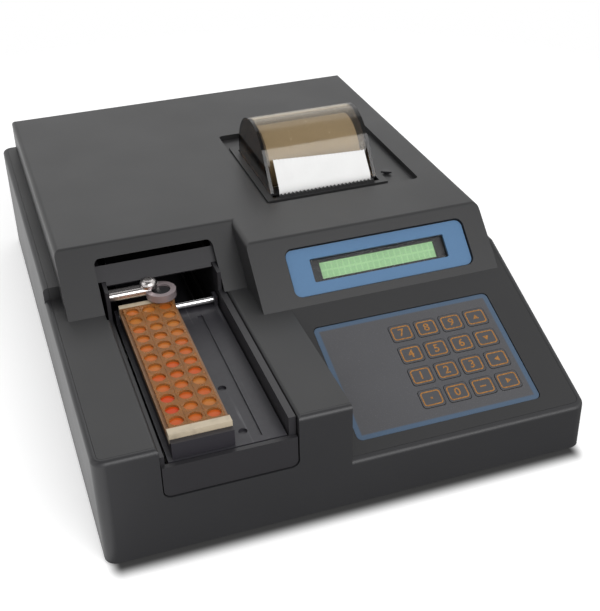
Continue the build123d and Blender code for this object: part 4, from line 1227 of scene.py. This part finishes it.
class SubAssembly:
    """What every sub-assembly offers: CAD nodes that are dressed and meshes of its own."""

    def finishes(self) -> dict[str, Finish]:
        """The finish of each of its CAD nodes."""
        raise NotImplementedError

    def dress(self, nodes: dict[str, bpy.types.Object]) -> None:
        """Give each CAD node its finish.

        Args:
            nodes: The frame's nodes by name.
        """
        for name, finish in self.finishes().items():
            materials = nodes[name].data.materials
            materials.clear()
            materials.append(finish.material())
            LOG.info("%s: %s dressed in %s", type(self).__name__, name, finish.name)

    def add_meshes(self) -> list[bpy.types.Object]:
        """Make the pieces that the CAD model lacks; most sub-assemblies have none."""
        return []

    def build(self, nodes: dict[str, bpy.types.Object]) -> None:
        """Dress the CAD nodes and add the meshes.

        Args:
            nodes: The frame's nodes by name.
        """
        self.dress(nodes)
        for piece in self.add_meshes():
            LOG.info("%s: %s added", type(self).__name__, piece.name)


@dataclass
class Casing(SubAssembly):
    """Lower case and upper cover with feet and screws, whose shapes are all in the CAD model."""

    def finishes(self) -> dict[str, Finish]:
        """The finish of each node."""
        return {"lower_case": CASE, "upper_cover": COVER, "rubber_feet": RUBBER,
                "case_screws": STEEL}


@dataclass
class Carriage(SubAssembly):
    """Well of the case with its rods, the driven plate, and the tray with the strips on it."""

    frame_middle: float = 67.5
    frame_half: float = 54.2
    well_grid: Pair = (38.1, 13.5)
    well_pitch: float = 9.0
    strip_length: float = 108.0

    def finishes(self) -> dict[str, Finish]:
        """Choose the finish of each node.

        Returns:
            Finishes by node name.
        """
        frame = FramePlastic("frame_plastic", linear(198, 184, 160), linear(136, 98, 62),
                             self.frame_middle, self.frame_half)
        reagent = Liquid("reagent", linear(186, 118, 50), linear(202, 66, 14),
                         self.well_grid, self.well_pitch, self.strip_length)
        return {"carriage_channel": CHANNEL, "guide_rods": CHROME, "carriage_plate": PLATE,
                "carriage_bushes": ACETAL, "carriage_rack": ACETAL, "drive_pinion": BRASS,
                "drive_motor": MOTOR, "tray_rod": CHROME, "strip_tray": TRAY, "strip_frame": frame,
                "well_strips": WELLS, "well_samples": reagent}


@dataclass
class LightPath(SubAssembly):
    """Lamp and filter wheel under the strips, detector arm and baffle over them."""

    ring_centre: Pair = (60.6, 126.0)
    ring_radius: float = 8.3
    ring_top: float = 68.45

    def finishes(self) -> dict[str, Finish]:
        """Choose the finish of each node.

        Returns:
            Finishes by node name.
        """
        arm = ArmMetal("detector_metal", (0.6, 0.57, 0.56), (0.36, 0.30, 0.31),
                       self.ring_centre, self.ring_radius, self.ring_top)
        return {"light_baffle": BAFFLE, "detector_arm": arm, "detector_lens": LENS,
                "detector_cell": BLACK, "lamp_housing": MOTOR, "lamp": BULB, "filter_motor": STEEL,
                "filter_wheel": MOTOR, "colour_filters": FILTER}


@dataclass
class Display(SubAssembly):
    """Blue bezel with its window over the lit panel."""

    slope: Slope = Slope(180.0, 90.0, 62.5, math.atan2(27.5, 30.0))
    middle_up: float = 19.1
    width: float = 68.0
    height: float = 9.5
    columns: int = 20
    rows: int = 2

    def finishes(self) -> dict[str, Finish]:
        """Choose the finish of each node.

        Returns:
            Finishes by node name.
        """
        panel = LitPanel("display_green", linear(152, 192, 142), linear(128, 170, 124), self.slope,
                         self.middle_up, self.width, self.height, self.columns, self.rows)
        return {"display_bezel": BEZEL, "display_window": PANE, "lcd_frame": BLACK,
                "lcd_panel": panel}


class Sign(Enum):
    """Signs on the keys that are no numerals, each a plain outline in shares of its half size."""

    UP = ((-0.9, -0.6), (0.9, -0.6), (0.0, 0.9))
    DOWN = ((0.9, 0.6), (-0.9, 0.6), (0.0, -0.9))
    LEFT = ((0.6, 0.9), (-0.9, 0.0), (0.6, -0.9))
    RIGHT = ((-0.6, -0.9), (0.9, 0.0), (-0.6, 0.9))
    BAR = ((-0.9, -0.22), (0.9, -0.22), (0.9, 0.22), (-0.9, 0.22))
    DOT = ((-0.3, -0.3), (0.3, -0.3), (0.3, 0.3), (-0.3, 0.3))


Mark = Union[str, Sign]


@dataclass
class Keypad(SubAssembly):
    """Printed film over sixteen keys: a rounded frame with a numeral or sign on each."""

    slope: Slope = Slope(180.3, 0.0, 28.0, math.atan2(34.5, 90.0))
    film_middle: float = 46.2
    film_half_width: float = 50.5
    film_half_length: float = 35.35
    film_line: float = 2.7
    film_corner: float = 3.0
    columns: int = 4
    rows: int = 4
    pitch_across: float = 14.5
    pitch_up: float = 14.1
    field_x: float = 16.55
    field_y: float = 46.3
    key_top: float = -0.3
    width: float = 10.8
    length: float = 8.6
    corner: float = 1.8
    least_corner: float = 0.2
    corner_points: int = 6
    line: float = 0.75
    ink: float = 0.04
    numeral: float = 6.6
    numeral_weight: float = 0.12
    sign: float = 1.9
    marks: Sequence[Mark] = ("7", "8", "9", Sign.UP,
                             "4", "5", "6", Sign.DOWN,
                             "1", "2", "3", Sign.LEFT,
                             Sign.DOT, "0", Sign.BAR, Sign.RIGHT)

    def finishes(self) -> dict[str, Finish]:
        """Choose the finish of each node.

        Returns:
            Finishes by node name.
        """
        film = Film("keypad_film", linear(77, 77, 80), linear(70, 91, 114), self.slope,
                    self.film_middle, self.film_half_width, self.film_half_length,
                    self.film_line, self.film_corner)
        keys = {f"key_{index + 1}": KEY for index in range(len(self.marks))}
        return {"keypad_overlay": film, "keypad_board": BOARD, **keys}

    def add_meshes(self) -> list[bpy.types.Object]:
        """Print every key.

        Returns:
            The legends in the order of the keys.
        """
        legends = []
        for index, mark in enumerate(self.marks):
            row, column = divmod(index, self.columns)
            across = self.field_x + (column - (self.columns - 1) / 2) * self.pitch_across
            up = self.field_y - (row - (self.rows - 1) / 2) * self.pitch_up
            legends.append(self.print_key(index + 1, mark, across, up))
        return legends

    def print_key(self, number: int, mark: Mark, across: float, up: float) -> bpy.types.Object:
        """Make one legend and let it ride on its key.

        Args:
            number: Number of the key.
            mark: Its numeral or sign.
            across: Place of the key's middle to the right of the slope's own point.
            up: Its place up the slope.

        Returns:
            The legend.
        """
        drawing = bmesh.new()
        self.add_frame(drawing)
        if isinstance(mark, Sign):
            self.add_plate(drawing, [(x * self.sign, y * self.sign) for x, y in mark.value])
        else:
            self.add_numeral(drawing, mark)
        for vertex in drawing.verts:
            x, y, z = vertex.co
            vertex.co = self.slope.at(across + x, up + y, self.key_top + z)
        mesh = mesh_of(drawing, f"legend_{number}")
        return new_piece(f"legend_{number}", mesh, LEGEND, f"key_{number}")

    def outline(self, inset: float) -> list[Pair]:
        """Points round a rounded rectangle, anticlockwise.

        Args:
            inset: How far it lies inside the frame's outer edge.

        Returns:
            The points in millimetres about the key's middle.
        """
        radius = max(self.corner - inset, self.least_corner)
        wide = self.width / 2 - inset - radius
        high = self.length / 2 - inset - radius
        points = []
        for turn, (x, y) in enumerate(((wide, high), (-wide, high), (-wide, -high), (wide, -high))):
            for step in range(self.corner_points):
                angle = (turn + step / (self.corner_points - 1)) * math.pi / 2
                points.append((x + radius * math.cos(angle), y + radius * math.sin(angle)))
        return points

    def add_frame(self, drawing: bmesh.types.BMesh) -> None:
        """Draw a closed ring between two outlines.

        Args:
            drawing: The legend's drawing.
        """
        loops = []
        for inset, level in ((0.0, 0.0), (0.0, self.ink), (self.line, self.ink), (self.line, 0.0)):
            loops.append([drawing.verts.new((x, y, level)) for x, y in self.outline(inset)])
        for low, high in zip(loops, loops[1:] + loops[:1]):
            join_loops(drawing, low, high)

    def add_plate(self, drawing: bmesh.types.BMesh, points: Sequence[Pair]) -> None:
        """Draw a closed flat plate inside an outline.

        Args:
            drawing: The legend's drawing.
            points: The outline in millimetres about the key's middle.
        """
        low = [drawing.verts.new((x, y, 0.0)) for x, y in points]
        high = [drawing.verts.new((x, y, self.ink)) for x, y in points]
        drawing.faces.new(reversed(low))
        drawing.faces.new(high)
        join_loops(drawing, low, high)

    def add_numeral(self, drawing: bmesh.types.BMesh, text: str) -> None:
        """Draw a raised numeral from Blender's own plain typeface.

        Args:
            drawing: The legend's drawing.
            text: The numeral.
        """
        curve = bpy.data.curves.new("numeral", "FONT")
        curve.body = text
        curve.size = self.numeral
        curve.extrude = self.ink / 2
        curve.offset = self.numeral_weight
        curve.align_x = "CENTER"
        curve.align_y = "CENTER"
        holder = bpy.data.objects.new("numeral", curve)
        mesh = bpy.data.meshes.new_from_object(holder)
        mesh.transform(Matrix.Translation((0.0, 0.0, self.ink / 2)))
        drawing.from_mesh(mesh)
        bpy.data.meshes.remove(mesh)
        bpy.data.objects.remove(holder)
        bpy.data.curves.remove(curve)


def join_loops(drawing: bmesh.types.BMesh, low: Sequence[Any], high: Sequence[Any]) -> None:
    """Close the wall between two loops of as many corners.

    Args:
        drawing: The drawing that holds them.
        low: Corners of the first loop.
        high: Corners of the second.
    """
    for index in range(len(low)):
        after = (index + 1) % len(low)
        drawing.faces.new((low[index], low[after], high[after], high[index]))


@dataclass
class PaperEnd:
    """The end of the paper: a thin sheet with a torn edge, bowed as paper off a roll is."""

    middle: float
    width: float = 57.5
    front: float = 172.58
    foot: float = 78.0
    kink: float = 91.0
    bend: float = 2.4
    run: float = 10.5
    rise: float = 14.8
    skew: float = 3.0
    thickness: float = 0.14
    bow: float = 0.5
    bow_rest: float = 0.4
    held: Pair = (1.6, 0.6)
    tooth: float = 0.55
    teeth: int = 25
    columns: int = 100
    rows: int = 30
    crease: float = 40.0

    def spine(self, share: float) -> Pair:
        """Follow the sheet: upright, a soft bend, then leaning.

        Args:
            share: Share of the sheet's length above its foot.

        Returns:
            Depth and height there.
        """
        upright = self.kink - self.foot
        lean = math.hypot(self.run, self.rise)
        along = share * (upright + lean)
        if along < upright - self.bend:
            return self.front, self.foot + along
        if along > upright + self.bend:
            part = (along - upright) / lean
            return self.front + self.run * part, self.kink + self.rise * part
        part = (along - upright + self.bend) / (2 * self.bend)
        before, after = (1 - part) ** 2, part ** 2
        between = 1 - before - after
        end = self.bend / lean
        y = self.front * (before + between) + (self.front + self.run * end) * after
        z = ((self.kink - self.bend) * before + self.kink * between
             + (self.kink + self.rise * end) * after)
        return y, z

    def sheet_point(self, column: int, row: int, side: float) -> Vector:
        """Find a point of one side of the sheet.

        Args:
            column: Place across the sheet.
            row: Place along it, from its foot; the last row is the torn edge.
            side: Minus one for the front, one for the back.

        Returns:
            The point in the frame's metres.
        """
        share = row / self.rows
        across = column / self.columns * 2 - 1
        y, z = self.spine(share)
        free = max(0.0, share * self.held[0] - self.held[1])
        if row == self.rows:
            z += self.tooth * (abs((column / self.columns * self.teeth) % 1 * 2 - 1) - 0.5)
        z -= self.skew * free * (across + 1) / 2
        y += self.bow * free * (across * across - self.bow_rest) + side * self.thickness / 2
        return frame_point(self.middle + across * self.width / 2, y, z)

    def grid(self, drawing: bmesh.types.BMesh, side: float) -> list[list[Any]]:
        """Draw the points of one side of the sheet, row by row."""
        return [[drawing.verts.new(self.sheet_point(column, row, side))
                 for column in range(self.columns + 1)] for row in range(self.rows + 1)]

    def build(self) -> bpy.types.Object:
        """Make the sheet as one closed thin shell.

        Returns:
            The piece that stands for the paper.
        """
        drawing = bmesh.new()
        grids = [self.grid(drawing, side) for side in (-1.0, 1.0)]
        for low, high in (rows for grid in grids for rows in zip(grid, grid[1:])):
            for left in range(self.columns):
                right = left + 1
                drawing.faces.new((low[left], low[right], high[right], high[left]))
        join_loops(drawing, *(self.rim(grid) for grid in grids))
        mesh = mesh_of(drawing, "paper_end")
        mesh.shade_smooth()
        mesh.set_sharp_from_angle(angle=math.radians(self.crease))
        piece = new_piece("paper_end", mesh, PAPER, "case")
        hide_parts("paper_strip")
        return piece

    @staticmethod
    def rim(grid: Sequence[Sequence[Any]]) -> list[Any]:
        """Corners round the edge of one side of the sheet.

        Args:
            grid: The side's points, row by row.

        Returns:
            The corners in their order round the edge.
        """
        right = [row[-1] for row in grid[1:]]
        left = [row[0] for row in grid[-2:0:-1]]
        return list(grid[0]) + right + list(grid[-1][-2::-1]) + left


@dataclass
class Printer(SubAssembly):
    """Printer in the roof: its frame and head, the paper on its roll, and the smoked cover."""

    middle: float = 172.9
    cover_half: float = 31.2
    roll_axis: Pair = (212.0, 91.0)

    def finishes(self) -> dict[str, Finish]:
        """Choose the finish of each node.

        Returns:
            Finishes by node name.
        """
        smoked = SmokedShell("smoked_plastic", (0.54, 0.46, 0.34), (0.075, 0.046, 0.03),
                             self.middle, self.cover_half)
        roll = WoundPaper("rolled_paper", linear(240, 238, 232), self.roll_axis)
        return {"printer_frame": COVER, "print_head": BLACK, "platen_roller": RUBBER,
                "paper_roll": roll, "paper_strip": PAPER, "printer_cover": smoked,
                "feed_button": BLACK}

    def add_meshes(self) -> list[bpy.types.Object]:
        """Make the end of the paper, which takes the place of the plain strip."""
        return [PaperEnd(self.middle).build()]


@dataclass
class BackAndInside(SubAssembly):
    """Rear panel with its fittings, main board and transformer, all of them shaped in the CAD."""

    def finishes(self) -> dict[str, Finish]:
        """The finish of each node."""
        return {"rear_panel": PANEL, "power_inlet": BLACK, "power_rocker": BLACK,
                "serial_port": STEEL, "main_board": BOARD, "transformer": CORE}


def main() -> None:
    """Build the studio, then the sub-assemblies from the casing inwards."""
    logging.basicConfig(level=logging.INFO, format="%(name)s %(message)s")
    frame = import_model()
    Studio().build()
    parts: Sequence[SubAssembly] = (Casing(), Carriage(), LightPath(), Display(), Keypad(),
                                    Printer(), BackAndInside())
    for part in parts:
        part.build(frame["nodes"])


if __name__ == "__main__":
    main()
